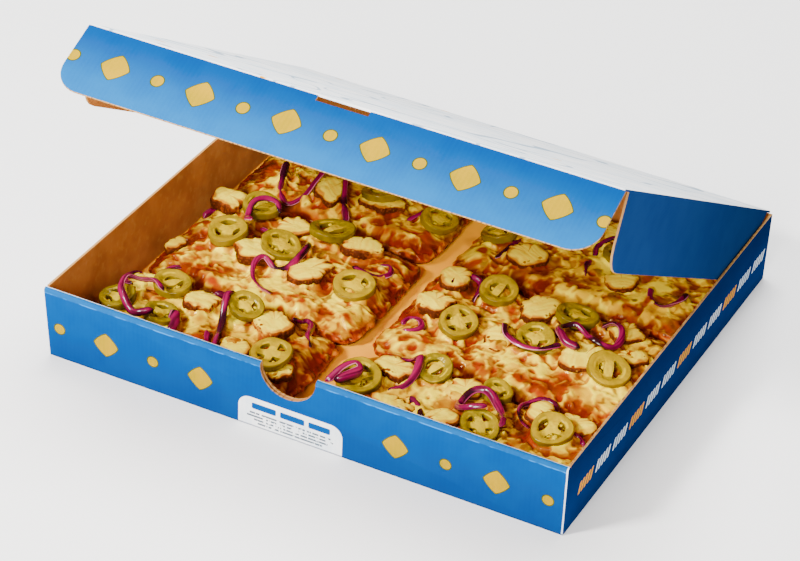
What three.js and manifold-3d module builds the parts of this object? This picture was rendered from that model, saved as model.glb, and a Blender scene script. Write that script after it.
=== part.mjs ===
// A large rectangular pizza, cut in six, in its corrugated-board takeaway box with the lid half open.
// Millimetres, +Z up. The origin is the middle of the tray's underside; the front wall faces -Y.
import * as THREE from "three";
import { mergeVertices } from "three/addons/utils/BufferGeometryUtils.js";
import Module from "manifold-3d";

// The box.
const TRAY = { width: 380, depth: 352, height: 54, leanLeft: 3.6, leanFront: 3 };
const BOARD = 1.6; // thickness of the corrugated board
const ROLL_GAP = 1.2; // between the two layers of the rolled front wall
const NOTCH = { x: -9, width: 41, depth: 22.5 }; // thumb notch in the front wall
const CLEAR = 0.3; // between pieces that touch
const RUNNING = 0.6; // between the lid and the tray it closes over
const LID = { openAngle: 30, flapDrop: 51.2, flapStart: 8, flapCorner: 24, flapTaper: 3 };
const FLAP = { fold: 54, drop: 52.5, corner: 19, slotX: -3, slotWidth: 37, slotDepth: 4.2, wider: 1 };
const FRONT_THICK = 2 * BOARD + ROLL_GAP; // the whole of the rolled front wall
const LID_HALF = TRAY.width / 2 - BOARD - 0.5; // outer face of the lid's side flaps
const LID_DEPTH = TRAY.depth + TRAY.leanFront + RUNNING; // hinge line to front crease

// The pizza.
const BASE_Z = BOARD + CLEAR; // underside of the slices
const CHEESE_Z = 15; // mean height of the cheese
const LUMPS = [{ size: 17, rise: 1.2 }, { size: 9, rise: 0.8 }]; // swellings of the melted cheese
const RIM_DROP = 5; // how far the cheese falls at a slice's edge
const RIM_WIDTH = 13; // breadth of that fall
const BULGE = 1.4; // how far the baked side stands out, highest at BULGE_Z
const BULGE_Z = 7;
const FOOT = 0.6; // how far the slice's base stays inside its rim
const WAVER = { size: 16, depth: 1 }; // unevenness of a slice's outline
const GRID = { across: 13, along: 9 }; // cells of a slice's upper face
const SINK = { chicken: 2.6, jalapeno: 1.6, onion: 1 }; // how deep a fused topping sits in the cheese
const NEST = 3.5; // how deep a ring may press into the chicken below it
const PRESS_GAP = 0.5; // round a ring pressed into chicken

const LOOKS = {
  print: { color: 0x2f80c4, roughness: 0.6 },
  lid: { color: 0xe9e9ea, roughness: 0.6 },
  crust: { color: 0xe0a24a, roughness: 0.4 },
  chicken: { color: 0xf3dfa8, roughness: 0.5 },
  jalapeno: { color: 0xa39a12, roughness: 0.35 },
  onion: { color: 0xa3195b, roughness: 0.3 },
};

// Slices: the rectangle each one fills, its corner radius and its seed.
const SLICES = [
  { name: "slice_front_left", x: [-185, -21], y: [-171, -72], corner: 11, seed: 3 },
  { name: "slice_front_right", x: [-4, 184.5], y: [-171, -73], corner: 13, seed: 7 },
  { name: "slice_middle_left", x: [-184.5, -15.5], y: [-69, 47], corner: 15, seed: 11 },
  { name: "slice_middle_right", x: [-5.5, 184.5], y: [-70, 47], corner: 14, seed: 19 },
  { name: "slice_back_left", x: [-183, -17.5], y: [51, 171], corner: 12, seed: 23 },
  { name: "slice_back_right", x: [-3, 184.5], y: [51, 171], corner: 12, seed: 29 },
];

// Chicken pieces: middle, length, breadth and the turn of the length in degrees.
const CHICKEN_FUSED = [
  [-165, -90, 30, 23, 10], [-76, -126, 26, 22, -30], [-154, -119, 20, 17, 20], [-36, -137, 21, 17, 70],
  [-114, 28, 27, 25, 30], [-175, -34, 13, 20, 0], [-110, 139, 30, 25, 15], [-37, 139, 27, 28, 60],
  [78, -89, 26, 27, -20], [80, -126, 24, 20, 10], [44, -130, 32, 17, 0], [131, -86, 19, 25, 5],
  [157, -84, 27, 21, -10], [112, -106, 17, 23, 30], [15, 26, 23, 29, 15], [71, -20, 21, 35, 10],
  [143, 32, 25, 26, -15], [158, 6, 26, 22, 40], [44, 84, 29, 33, 25], [114, 90, 25, 27, -30],
  [32, 146, 29, 25, 0], [150, 140, 30, 27, 45], [88, 148, 27, 25, -20],
];
const CHICKEN_LOOSE = [
  [-66, -92, 37, 30, -35], [-120, -94, 28, 27, 0], [-168, 30, 31, 26, 0], [-60, 28, 34, 27, 20],
  [-122, -18, 37, 31, -10], [-76, -18, 43, 28, 75], [-74, 90, 39, 29, 20], [-114, 84, 41, 25, -65],
  [27, -94, 32, 27, -15], [81, 23, 40, 26, 80], [131, -14, 38, 35, 15], [17, -10, 33, 29, 60],
];

// Jalapeno rings: middle, radius, lean in degrees and the direction it leans towards.
const JALAPENO_FUSED = [
  [-137, -121, 12, 8, 0], [-160, 144, 14, 4, 90], [-64, 146, 14, 6, 200], [58, 148, 14, 5, 30],
  [126, 148, 13, 7, 120],
];
const JALAPENO_LOOSE = [
  [-171, -121, 13, 7, 280], [-146, -89, 14, 8, 300], [-88, -90, 12, 30, 330], [-46, -131, 14, 14, 300],
  [-143, 32, 14, 10, 230], [-86, 33, 16, 4, 20], [-147, -10, 15, 9, 310], [-106, -7, 15, 12, 290],
  [-41, -20, 15, 10, 280], [-142, 97, 14, 4, 270], [-79, 98, 15, 4, 180], [-30, 93, 14, 6, 0],
  [13, -118, 16, 10, 300], [53, -84, 12, 30, 280], [98, -82, 11, 9, 270], [106, -126, 13, 16, 300],
  [148, -104, 14, 13, 290], [48, 27, 14, 12, 280], [107, 28, 15, 4, 90], [41, -23, 14, 11, 290],
  [94, -12, 14, 12, 260], [153, -23, 15, 14, 300], [15, 97, 13, 4, 180], [101, 120, 13, 4, 60],
];
const RING_THICKNESS = 5.6;

// Red onion strips: breadth, then the points its middle line passes, left to right and front to back.
const ONION_FUSED = [
  [8, [[-129, -114], [-124, -124], [-122, -135]]],
  [5, [[-102, -118], [-97, -127], [-94, -136]]],
  [4.4, [[-179, 12], [-178, 21], [-171, 27], [-164, 22], [-162, 12]]],
  [4, [[-136, 17], [-127, 15], [-121, 8]]],
  [4.4, [[-57, 8], [-45, 5], [-34, 5], [-30, 13], [-34, 21], [-41, 19]]],
  [4.6, [[-45, 106], [-47, 95], [-52, 83]]],
  [4.2, [[-172, 150], [-176, 132], [-160, 124], [-143, 128]]],
  [5, [[49, -113], [60, -121], [67, -133]]],
  [4, [[158, -96], [164, -95], [170, -100]]],
  [5.4, [[16, 15], [16, 25], [24, 36], [30, 36], [34, 26], [36, 12]]],
  [5, [[5, -37], [6, -28], [13, -27], [19, -34], [15, -43], [9, -45]]],
  [4.6, [[31, 108], [29, 90], [24, 72]]],
  [4.8, [[84, 106], [85, 94], [89, 84]]],
  [4.4, [[84, 112], [80, 126], [88, 136], [103, 139]]],
];
const ONION_LOOSE = [
  [4.4, [[-147, -76], [-165, -73], [-179, -79], [-181, -89], [-177, -99], [-169, -105]]],
  [4.8, [[-142, -108], [-158, -101], [-170, -106], [-169, -120], [-159, -131], [-147, -135], [-137, -130]]],
  [5.4, [[-118, -80], [-109, -76], [-102, -84], [-101, -95], [-96, -110], [-90, -127], [-87, -137]]],
  [4.4, [[-57, -80], [-54, -65], [-49, -67], [-41, -88], [-33, -99]]],
  [5.2, [[-125, 27], [-131, 33], [-140, 31], [-145, 21], [-142, 8], [-133, -1]]],
  [4.6, [[-94, 11], [-88, -2], [-89, -18], [-97, -28], [-109, -26], [-112, -34], [-107, -45], [-97, -53],
    [-87, -56]]],
  [4.6, [[-157, 97], [-152, 80], [-145, 65], [-134, 56], [-128, 67], [-126, 87], [-128, 107]]],
  [4.8, [[-113, 107], [-106, 90], [-97, 72], [-87, 57]]],
  [6, [[-4, -133], [2, -123], [10, -116], [15, -121], [9, -130], [3, -135]]],
  [4.8, [[13, -78], [26, -75], [39, -79], [44, -90], [43, -104], [34, -116]]],
  [5.4, [[106, -116], [93, -120], [83, -111], [85, -97], [94, -92], [106, -99], [116, -112], [121, -126]]],
  [3.6, [[141, -77], [133, -66], [123, -66], [116, -77], [118, -90], [125, -101], [132, -105]]],
  [5, [[69, -8], [76, -21], [89, -28], [104, -26], [114, -15]]],
  [4.8, [[128, -16], [116, -14], [108, -6], [105, 4], [111, 13], [121, 10], [131, 3], [141, 5], [145, 16],
    [141, 26], [133, 29], [127, 24]]],
  [5.4, [[136, 92], [141, 80], [151, 74], [159, 84], [160, 99]]],
];

const wasm = await Module();
wasm.setup();

function radians(degrees) {
  return THREE.MathUtils.degToRad(degrees);
}

// A repeatable stream of numbers from 0 to 1.
function stream(seed) {
  let state = seed * 7919 + 17;
  return () => {
    state = (state * 16807) % 2147483647;
    return state / 2147483647;
  };
}

// Smooth noise from -1 to 1 over the plane.
function noise(x, y, seed) {
  const corner = (i, j) => {
    const wave = Math.sin(i * 127.1 + j * 311.7 + seed * 74.7) * 43758.5453;
    return 2 * (wave - Math.floor(wave)) - 1;
  };
  const i = Math.floor(x);
  const j = Math.floor(y);
  const u = THREE.MathUtils.smoothstep(x - i, 0, 1);
  const v = THREE.MathUtils.smoothstep(y - j, 0, 1);
  const near = THREE.MathUtils.lerp(corner(i, j), corner(i + 1, j), u);
  const far = THREE.MathUtils.lerp(corner(i, j + 1), corner(i + 1, j + 1), u);
  return THREE.MathUtils.lerp(near, far, v);
}

// Closed geometry to a manifold solid, and back.
function toSolid(geometry) {
  const bare = geometry.clone();
  bare.deleteAttribute("normal");
  bare.deleteAttribute("uv");
  const merged = mergeVertices(bare, 1e-4);
  return new wasm.Manifold(new wasm.Mesh({
    numProp: 3,
    vertProperties: new Float32Array(merged.attributes.position.array),
    triVerts: new Uint32Array(merged.index.array),
  }));
}

function toGeometry(solid) {
  const { vertProperties, triVerts } = solid.getMesh();
  const geometry = new THREE.BufferGeometry();
  geometry.setAttribute("position", new THREE.BufferAttribute(vertProperties, 3));
  geometry.setIndex(new THREE.BufferAttribute(triVerts, 1));
  geometry.computeVertexNormals();
  return geometry;
}

// The largest body of a solid, without hollows sealed inside it or scraps beside it.
function wholeBody(solid) {
  const bodies = solid.decompose();
  return bodies.reduce((largest, body) => (body.volume() > largest.volume() ? body : largest));
}

function indexed(points, faces) {
  const geometry = new THREE.BufferGeometry();
  geometry.setAttribute("position", new THREE.Float32BufferAttribute(points.flat(), 3));
  geometry.setIndex(faces.flat());
  geometry.computeVertexNormals();
  return geometry;
}

// A block whose lower and upper faces are the rectangles low and high, each [x0, x1, y0, y1].
function block(low, high, z0, z1) {
  const ring = ([x0, x1, y0, y1], z) => [[x0, y0, z], [x1, y0, z], [x1, y1, z], [x0, y1, z]];
  const faces = [[0, 3, 2], [0, 2, 1], [4, 5, 6], [4, 6, 7]];
  for (let i = 0; i < 4; i += 1) {
    const j = (i + 1) % 4;
    faces.push([i, j, j + 4], [i, j + 4, i + 4]);
  }
  return indexed([...ring(low, z0), ...ring(high, z1)], faces);
}

// The tray's outline at height z, drawn in by the thickness of each wall.
function trayOutline(z, side, back, front) {
  const rise = z / TRAY.height;
  return [
    -TRAY.width / 2 - TRAY.leanLeft * rise + side,
    TRAY.width / 2 - side,
    -TRAY.depth / 2 - TRAY.leanFront * rise + front,
    TRAY.depth / 2 - back,
  ];
}

function trayBlock(z0, z1, side, back, front) {
  return toSolid(block(trayOutline(z0, side, back, front), trayOutline(z1, side, back, front), z0, z1));
}

// The front wall: two layers of board rolled over a rounded top, leaning out a little.
function rolledFrontWall() {
  const radius = FRONT_THICK / 2;
  const profile = new THREE.Shape();
  profile.moveTo(0, 0);
  profile.lineTo(FRONT_THICK, 0);
  profile.lineTo(FRONT_THICK, TRAY.height - radius);
  profile.absarc(radius, TRAY.height - radius, radius, 0, Math.PI, false);
  const wall = new THREE.ExtrudeGeometry(profile, {
    depth: TRAY.width + 2 * TRAY.leanLeft,
    bevelEnabled: false,
    curveSegments: 6,
  });
  const alongX = new THREE.Matrix4().makeBasis(
    new THREE.Vector3(0, 1, 0), new THREE.Vector3(0, 0, 1), new THREE.Vector3(1, 0, 0));
  const lean = new THREE.Matrix4().set(
    1, 0, 0, 0,
    0, 1, -TRAY.leanFront / TRAY.height, 0,
    0, 0, 1, 0,
    0, 0, 0, 1);
  wall.applyMatrix4(alongX);
  wall.applyMatrix4(lean);
  wall.translate(-TRAY.width / 2 - TRAY.leanLeft, -TRAY.depth / 2, 0);
  return toSolid(wall).intersect(trayBlock(0, TRAY.height, 0, 0, 0));
}

// A U-shaped cutter for the thumb notch, open at the top.
function notchCutter() {
  const radius = NOTCH.width / 2;
  const spring = TRAY.height - NOTCH.depth + radius;
  const above = TRAY.height + 5;
  const outline = new THREE.Shape();
  outline.moveTo(-radius, above);
  outline.lineTo(-radius, spring);
  outline.absarc(0, spring, radius, Math.PI, 2 * Math.PI, false);
  outline.lineTo(radius, above);
  const depth = 20;
  const cutter = new THREE.ExtrudeGeometry(outline, { depth, bevelEnabled: false, curveSegments: 12 });
  cutter.rotateX(Math.PI / 2);
  cutter.translate(NOTCH.x, (depth - TRAY.depth) / 2, 0);
  return toSolid(cutter);
}

function trayGeometry() {
  const beyond = -20; // past the front wall, which is rolled separately
  const shell = trayBlock(0, TRAY.height, 0, 0, FRONT_THICK)
    .subtract(trayBlock(BOARD, TRAY.height + 1, BOARD, BOARD, beyond));
  const inner = TRAY.width / 2 - BOARD;
  const slitFoot = -TRAY.depth / 2 + BOARD;
  const slitHead = slitFoot - TRAY.leanFront;
  const slit = toSolid(block(
    [-inner, inner, slitFoot, slitFoot + ROLL_GAP],
    [-inner, inner, slitHead, slitHead + ROLL_GAP],
    BOARD, TRAY.height - BOARD));
  return toGeometry(shell.add(rolledFrontWall()).subtract(slit).subtract(notchCutter()));
}

// The lid lies along -Y from the hinge line, its side flaps folded down inside the tray's walls.
function lidGeometry() {
  const rectangle = [-LID_HALF, LID_HALF, -LID_DEPTH + CLEAR / 2, -CLEAR];
  const panel = toSolid(block(rectangle, rectangle, CLEAR, CLEAR + BOARD));
  const front = TRAY.depth - FRONT_THICK - 2 * RUNNING;
  const outline = new THREE.Shape();
  outline.moveTo(LID.flapStart, BOARD / 2);
  outline.lineTo(front, BOARD / 2);
  outline.lineTo(front - LID.flapTaper, -LID.flapDrop + LID.flapCorner);
  outline.quadraticCurveTo(front - LID.flapTaper, -LID.flapDrop, front - LID.flapCorner, -LID.flapDrop);
  outline.lineTo(LID.flapStart + LID.flapCorner, -LID.flapDrop);
  const flap = new THREE.ExtrudeGeometry(outline, { depth: BOARD, bevelEnabled: false, curveSegments: 6 });
  const upright = new THREE.Matrix4().makeBasis(
    new THREE.Vector3(0, -1, 0), new THREE.Vector3(0, 0, 1), new THREE.Vector3(-1, 0, 0));
  flap.applyMatrix4(upright);
  flap.translate(0, 0, CLEAR);
  const right = toSolid(flap.clone().translate(LID_HALF, 0, 0));
  const left = toSolid(flap.clone().translate(-LID_HALF + BOARD, 0, 0));
  return toGeometry(panel.add(right).add(left));
}

// The lid's front flap, flat along -Y from its crease, with rounded corners and a slot at the crease.
function frontFlapGeometry() {
  const half = LID_HALF + FLAP.wider;
  const start = CLEAR / 2;
  const cornerX = half - FLAP.corner;
  const cornerY = FLAP.corner - FLAP.drop;
  const outline = new THREE.Shape();
  outline.moveTo(-half, -start);
  outline.lineTo(-half, cornerY);
  outline.absarc(-cornerX, cornerY, FLAP.corner, Math.PI, 1.5 * Math.PI, false);
  outline.absarc(cornerX, cornerY, FLAP.corner, 1.5 * Math.PI, 2 * Math.PI, false);
  outline.lineTo(half, -start);
  outline.lineTo(FLAP.slotX + FLAP.slotWidth / 2, -start);
  outline.lineTo(FLAP.slotX + FLAP.slotWidth / 2, -FLAP.slotDepth);
  outline.lineTo(FLAP.slotX - FLAP.slotWidth / 2, -FLAP.slotDepth);
  outline.lineTo(FLAP.slotX - FLAP.slotWidth / 2, -start);
  return new THREE.ExtrudeGeometry(outline, { depth: BOARD, bevelEnabled: false, curveSegments: 6 });
}

// Where a ray from a slice's middle through the square's edge point (u, v) leaves its rounded rectangle.
function roundedEdge(u, v, halfX, halfY, corner) {
  const point = new THREE.Vector2(u * halfX, v * halfY);
  const centre = new THREE.Vector2(Math.sign(u) * (halfX - corner), Math.sign(v) * (halfY - corner));
  const outward = point.clone().sub(centre);
  if (outward.x * Math.sign(u) > 0 && outward.y * Math.sign(v) > 0) {
    outward.setLength(corner);
    point.copy(centre).add(outward);
  }
  return point;
}

// A slice: a lumpy sheet of cheese falling to a rounded rim, bulging baked sides and a flat base.
function sliceGeometry({ x, y, corner, seed }) {
  const halfX = (x[1] - x[0]) / 2 - BULGE;
  const halfY = (y[1] - y[0]) / 2 - BULGE;
  const middle = new THREE.Vector2((x[0] + x[1]) / 2, (y[0] + y[1]) / 2);
  const points = [];
  const faces = [];
  const at = (u, v, out = 0) => {
    const reach = Math.max(Math.abs(u), Math.abs(v), 1e-6);
    const edge = roundedEdge(u / reach, v / reach, halfX, halfY, corner);
    const inward = WAVER.depth * (1 - noise(edge.x / WAVER.size, edge.y / WAVER.size, seed));
    return edge.multiplyScalar(reach * (1 - inward / halfY) * (1 + out / halfY)).add(middle);
  };
  const height = (p, rimDistance) => {
    const fall = 1 - THREE.MathUtils.smoothstep(rimDistance, 0, RIM_WIDTH);
    const swells = LUMPS.map(({ size, rise }, k) => rise * noise(p.x / size, p.y / size, seed + 1 + k));
    return CHEESE_Z + (swells[0] + swells[1]) * (1 - 0.5 * fall) - RIM_DROP * fall;
  };
  for (let j = 0; j <= GRID.along; j += 1) {
    for (let i = 0; i <= GRID.across; i += 1) {
      const u = (2 * i) / GRID.across - 1;
      const v = (2 * j) / GRID.along - 1;
      const p = at(u, v);
      const rimDistance = Math.min((1 - Math.abs(u)) * halfX, (1 - Math.abs(v)) * halfY);
      points.push([p.x, p.y, height(p, rimDistance)]);
    }
  }
  const row = GRID.across + 1;
  for (let j = 0; j < GRID.along; j += 1) {
    for (let i = 0; i < GRID.across; i += 1) {
      const a = j * row + i;
      faces.push([a, a + 1, a + row + 1], [a, a + row + 1, a + row]);
    }
  }
  const rim = [];
  for (let i = 0; i < GRID.across; i += 1) rim.push([i, 0]);
  for (let j = 0; j < GRID.along; j += 1) rim.push([GRID.across, j]);
  for (let i = GRID.across; i > 0; i -= 1) rim.push([i, GRID.along]);
  for (let j = GRID.along; j > 0; j -= 1) rim.push([0, j]);
  let above = rim.map(([i, j]) => j * row + i);
  for (const [out, z] of [[BULGE, BULGE_Z], [-FOOT, BASE_Z]]) {
    const below = rim.map(([i, j]) => {
      const p = at((2 * i) / GRID.across - 1, (2 * j) / GRID.along - 1, out);
      return points.push([p.x, p.y, z]) - 1;
    });
    above.forEach((a, k) => {
      const next = (k + 1) % above.length;
      faces.push([a, below[k], below[next]], [a, below[next], above[next]]);
    });
    above = below;
  }
  const hub = points.push([middle.x, middle.y, BASE_Z]) - 1;
  above.forEach((a, k) => faces.push([hub, above[(k + 1) % above.length], a]));
  return indexed(points, faces);
}

// Heights of what has been laid in the tray so far, on a grid of small cells.
class ReliefMap {
  constructor(cell) {
    this.cell = cell;
    this.tops = new Map();
  }

  key(i, j) {
    return i * 4096 + j;
  }

  // Calls visit(key, z) for every cell whose middle lies under a triangle of the geometry.
  scan(geometry, visit) {
    const flat = geometry.index ? geometry.toNonIndexed() : geometry;
    const p = flat.attributes.position;
    for (let t = 0; t < p.count; t += 3) {
      const [a, b, c] = [0, 1, 2].map((k) => new THREE.Vector3().fromBufferAttribute(p, t + k));
      const area = (b.x - a.x) * (c.y - a.y) - (c.x - a.x) * (b.y - a.y);
      if (Math.abs(area) > 1e-9) this.scanTriangle(a, b, c, area, visit);
    }
  }

  scanTriangle(a, b, c, area, visit) {
    const first = (...values) => Math.ceil(Math.min(...values) / this.cell);
    const last = (...values) => Math.floor(Math.max(...values) / this.cell);
    for (let i = first(a.x, b.x, c.x); i <= last(a.x, b.x, c.x); i += 1) {
      for (let j = first(a.y, b.y, c.y); j <= last(a.y, b.y, c.y); j += 1) {
        const x = i * this.cell;
        const y = j * this.cell;
        const toB = ((x - a.x) * (c.y - a.y) - (c.x - a.x) * (y - a.y)) / area;
        const toC = ((b.x - a.x) * (y - a.y) - (x - a.x) * (b.y - a.y)) / area;
        const inside = toB >= 0 && toC >= 0 && toB + toC <= 1;
        if (inside) visit(this.key(i, j), a.z + toB * (b.z - a.z) + toC * (c.z - a.z));
      }
    }
  }

  add(geometry) {
    this.scan(geometry, (key, z) => this.tops.set(key, Math.max(z, this.tops.get(key) ?? BASE_Z)));
  }

  // How far the geometry must rise to lie just on what is there.
  lift(geometry) {
    const undersides = new Map();
    this.scan(geometry, (key, z) => undersides.set(key, Math.min(z, undersides.get(key) ?? Infinity)));
    let lift = -Infinity;
    undersides.forEach((z, key) => {
      lift = Math.max(lift, (this.tops.get(key) ?? BASE_Z) - z);
    });
    return lift;
  }

  // The highest point within a radius of (x, y).
  crest(x, y, radius) {
    let crest = BASE_Z;
    for (let i = Math.round((x - radius) / this.cell); i <= (x + radius) / this.cell; i += 1) {
      for (let j = Math.round((y - radius) / this.cell); j <= (y + radius) / this.cell; j += 1) {
        crest = Math.max(crest, this.tops.get(this.key(i, j)) ?? BASE_Z);
      }
    }
    return crest;
  }

  // About the direction the surface faces round (x, y), from its heights a radius away.
  facing(x, y, radius) {
    const slopeX = (this.crest(x + radius, y, 3) - this.crest(x - radius, y, 3)) / (2 * radius);
    const slopeY = (this.crest(x, y + radius, 3) - this.crest(x, y - radius, 3)) / (2 * radius);
    return new THREE.Vector3(-0.5 * slopeX, -0.5 * slopeY, 1).normalize();
  }
}

// A chunk of chicken about its middle: an uneven outline, bevelled above and below.
function chickenGeometry(length, breadth, seed) {
  const random = stream(seed);
  const sides = 9;
  const thick = 5.5 + 2.5 * random();
  const radii = Array.from({ length: sides }, () => 0.84 + 0.22 * random());
  const rings = [[0.9, 0], [1, 0.55 * thick], [0.8, thick]];
  const points = [];
  for (const [scale, z] of rings) {
    radii.forEach((radius, k) => {
      const angle = (2 * Math.PI * k) / sides;
      const dome = z === thick ? 0.8 * random() : 0;
      points.push([
        0.5 * length * radius * scale * Math.cos(angle),
        0.5 * breadth * radius * scale * Math.sin(angle),
        z + dome,
      ]);
    });
  }
  const faces = [];
  for (let ring = 0; ring < rings.length - 1; ring += 1) {
    for (let k = 0; k < sides; k += 1) {
      const a = ring * sides + k;
      const b = ring * sides + ((k + 1) % sides);
      faces.push([a, b, b + sides], [a, b + sides, a + sides]);
    }
  }
  const under = points.push([0, 0, 0]) - 1;
  const crown = points.push([0, 0, thick + 0.9]) - 1;
  const top = (rings.length - 1) * sides;
  for (let k = 0; k < sides; k += 1) {
    const next = (k + 1) % sides;
    faces.push([under, next, k], [crown, top + k, top + next]);
  }
  return indexed(points, faces);
}

// A slice across a jalapeno: an uneven round of flesh with two to four seed chambers through it.
function jalapenoGeometry(radius, index) {
  const random = stream(index + 41);
  const chambers = 2 + (index % 3);
  const shape = new THREE.Shape();
  const sides = 12;
  for (let k = 0; k < sides; k += 1) {
    const angle = (2 * Math.PI * k) / sides;
    const r = radius * (1 + 0.03 * Math.sin(chambers * angle + index) + 0.02 * random());
    if (k === 0) shape.moveTo(r * Math.cos(angle), r * Math.sin(angle));
    else shape.lineTo(r * Math.cos(angle), r * Math.sin(angle));
  }
  const half = Math.PI / chambers - 0.35; // half the angle that a chamber fills
  // A chamber's corners: the share of the radius and the angle from its middle.
  const corners = [[0.16, 0], [0.48, half], [0.7, 0.6 * half], [0.7, -0.6 * half], [0.48, -half]];
  for (let c = 0; c < chambers; c += 1) {
    const turn = (2 * Math.PI * c) / chambers;
    const points = corners.map(([reach, angle]) => new THREE.Vector2(
      reach * radius * Math.cos(turn + angle), reach * radius * Math.sin(turn + angle)));
    shape.holes.push(new THREE.Path(points));
  }
  const ring = new THREE.ExtrudeGeometry(shape, { depth: RING_THICKNESS, bevelEnabled: false });
  return ring.translate(0, 0, -RING_THICKNESS / 2);
}

// A strip of onion draped over what lies under the given points.
function onionGeometry(breadth, route, relief) {
  const half = breadth / 2;
  const level = new THREE.CatmullRomCurve3(route.map(([x, y]) => new THREE.Vector3(x, y, 0)));
  const steps = Math.max(4, Math.round(level.getLength() / 8));
  const spaced = level.getSpacedPoints(steps);
  const draped = spaced.map((p) => new THREE.Vector3(p.x, p.y, relief.crest(p.x, p.y, half + 1) + half));
  const section = new THREE.Shape();
  const sides = 5;
  for (let k = 0; k < sides; k += 1) {
    const angle = (2 * Math.PI * k) / sides;
    if (k === 0) section.moveTo(half * Math.cos(angle), half * Math.sin(angle));
    else section.lineTo(half * Math.cos(angle), half * Math.sin(angle));
  }
  const extrudePath = new THREE.CatmullRomCurve3(draped);
  return new THREE.ExtrudeGeometry(section, { steps, extrudePath, bevelEnabled: false });
}

// Stands a geometry at (x, y), tipped to face the given direction and turned about it.
function posed(geometry, x, y, facing, turn) {
  const tip = new THREE.Quaternion().setFromUnitVectors(new THREE.Vector3(0, 0, 1), facing);
  const spin = new THREE.Quaternion().setFromAxisAngle(new THREE.Vector3(0, 0, 1), turn);
  const mesh = new THREE.Mesh(geometry);
  mesh.quaternion.copy(tip.multiply(spin));
  mesh.position.set(x, y, 0);
  return mesh;
}

function worldGeometry(mesh) {
  mesh.updateMatrix();
  return mesh.geometry.clone().applyMatrix4(mesh.matrix);
}

function chickenMesh([x, y, length, breadth, turn], index, relief) {
  const facing = relief.facing(x, y, breadth / 2);
  return posed(chickenGeometry(length, breadth, index + 5), x, y, facing, radians(turn));
}

function jalapenoMesh([x, y, radius, lean, towards], index, relief) {
  const facing = relief.facing(x, y, radius);
  const direction = new THREE.Vector3(Math.cos(radians(towards)), Math.sin(radians(towards)), 0);
  facing.addScaledVector(direction, Math.tan(radians(lean))).normalize();
  return posed(jalapenoGeometry(radius, index), x, y, facing, radians(137.5 * index));
}

function onionMesh([breadth, route], relief) {
  return new THREE.Mesh(onionGeometry(breadth, route, relief));
}

const materials = Object.fromEntries(Object.entries(LOOKS).map(([name, { color, roughness }]) => [
  name,
  new THREE.MeshStandardMaterial({ color, roughness, metalness: 0 }),
]));

function named(mesh, name, material) {
  mesh.name = name;
  mesh.material = material;
  return mesh;
}

const pizza = new THREE.Group();
const ground = new ReliefMap(1); // the slices and what is fused to them
const relief = new ReliefMap(1); // the same and the loose toppings
const slices = SLICES.map((slice) => {
  const geometry = sliceGeometry(slice);
  ground.add(geometry);
  return { ...slice, solid: toSolid(geometry) };
});

// Toppings baked into the cheese become part of the slice they lie on.
function fuse(mesh, sink) {
  mesh.position.z += ground.lift(worldGeometry(mesh)) - sink;
  const geometry = worldGeometry(mesh);
  ground.add(geometry);
  geometry.computeBoundingBox();
  const middle = geometry.boundingBox.getCenter(new THREE.Vector3());
  const within = (value, [low, high]) => value > low && value < high;
  const under = slices.find(({ x, y }) => within(middle.x, x) && within(middle.y, y));
  under.solid = under.solid.add(toSolid(geometry));
}

CHICKEN_FUSED.forEach((piece, k) => fuse(chickenMesh(piece, k, ground), SINK.chicken));
JALAPENO_FUSED.forEach((piece, k) => fuse(jalapenoMesh(piece, k, ground), SINK.jalapeno));
ONION_FUSED.forEach((piece) => fuse(onionMesh(piece, ground), SINK.onion));
slices.forEach(({ name, solid }) => {
  pizza.add(named(new THREE.Mesh(toGeometry(wholeBody(solid))), name, materials.crust));
});
pizza.children.forEach((slice) => relief.add(slice.geometry));

// Raises a piece in small steps until it is clear of all that is laid already.
function raiseClear(mesh) {
  const near = pizza.children.map((other) => worldGeometry(other));
  near.forEach((geometry) => geometry.computeBoundingBox());
  const own = worldGeometry(mesh);
  own.computeBoundingBox();
  const solids = near.filter(({ boundingBox }) => boundingBox.intersectsBox(own.boundingBox)).map(toSolid);
  while (solids.some((solid) => toSolid(worldGeometry(mesh)).intersect(solid).volume() > 0)) {
    mesh.position.z += 0.1;
  }
  mesh.position.z += CLEAR;
}

// The larger toppings lie loose on the slices: chicken, then rings pressed a little into it, then onion.
function lay(mesh, kind, k) {
  raiseClear(mesh);
  relief.add(worldGeometry(mesh));
  pizza.add(named(mesh, `${kind}_${String(k + 1).padStart(2, "0")}`, materials[kind]));
  return mesh;
}

const chicken = CHICKEN_LOOSE.map((piece, k) => {
  const mesh = chickenMesh(piece, k + CHICKEN_FUSED.length, relief);
  mesh.position.z += relief.lift(worldGeometry(mesh));
  return lay(mesh, "chicken", k);
});

// Hollows a chicken piece to fit round a ring that presses into it.
function pressInto(lower, ring, radius) {
  const reach = (1.05 * radius + PRESS_GAP) / Math.cos(Math.PI / 12);
  const cutter = new THREE.CylinderGeometry(reach, reach, RING_THICKNESS + 2 * PRESS_GAP, 12);
  cutter.rotateX(Math.PI / 2);
  lower.updateMatrix();
  cutter.applyMatrix4(ring.matrix).applyMatrix4(lower.matrix.clone().invert());
  const whole = toSolid(lower.geometry);
  const cut = whole.subtract(toSolid(cutter));
  if (cut.volume() < whole.volume()) lower.geometry = toGeometry(wholeBody(cut));
}

JALAPENO_LOOSE.forEach((piece, k) => {
  const mesh = jalapenoMesh(piece, k, relief);
  const geometry = worldGeometry(mesh);
  mesh.position.z += Math.max(ground.lift(geometry), relief.lift(geometry) - NEST);
  mesh.updateMatrix();
  chicken.forEach((lower) => pressInto(lower, mesh, piece[2]));
  lay(mesh, "jalapeno", k);
});

ONION_LOOSE.forEach((piece, k) => {
  const mesh = onionMesh(piece, relief);
  mesh.position.z += relief.lift(worldGeometry(mesh));
  lay(mesh, "onion", k);
});

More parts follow.
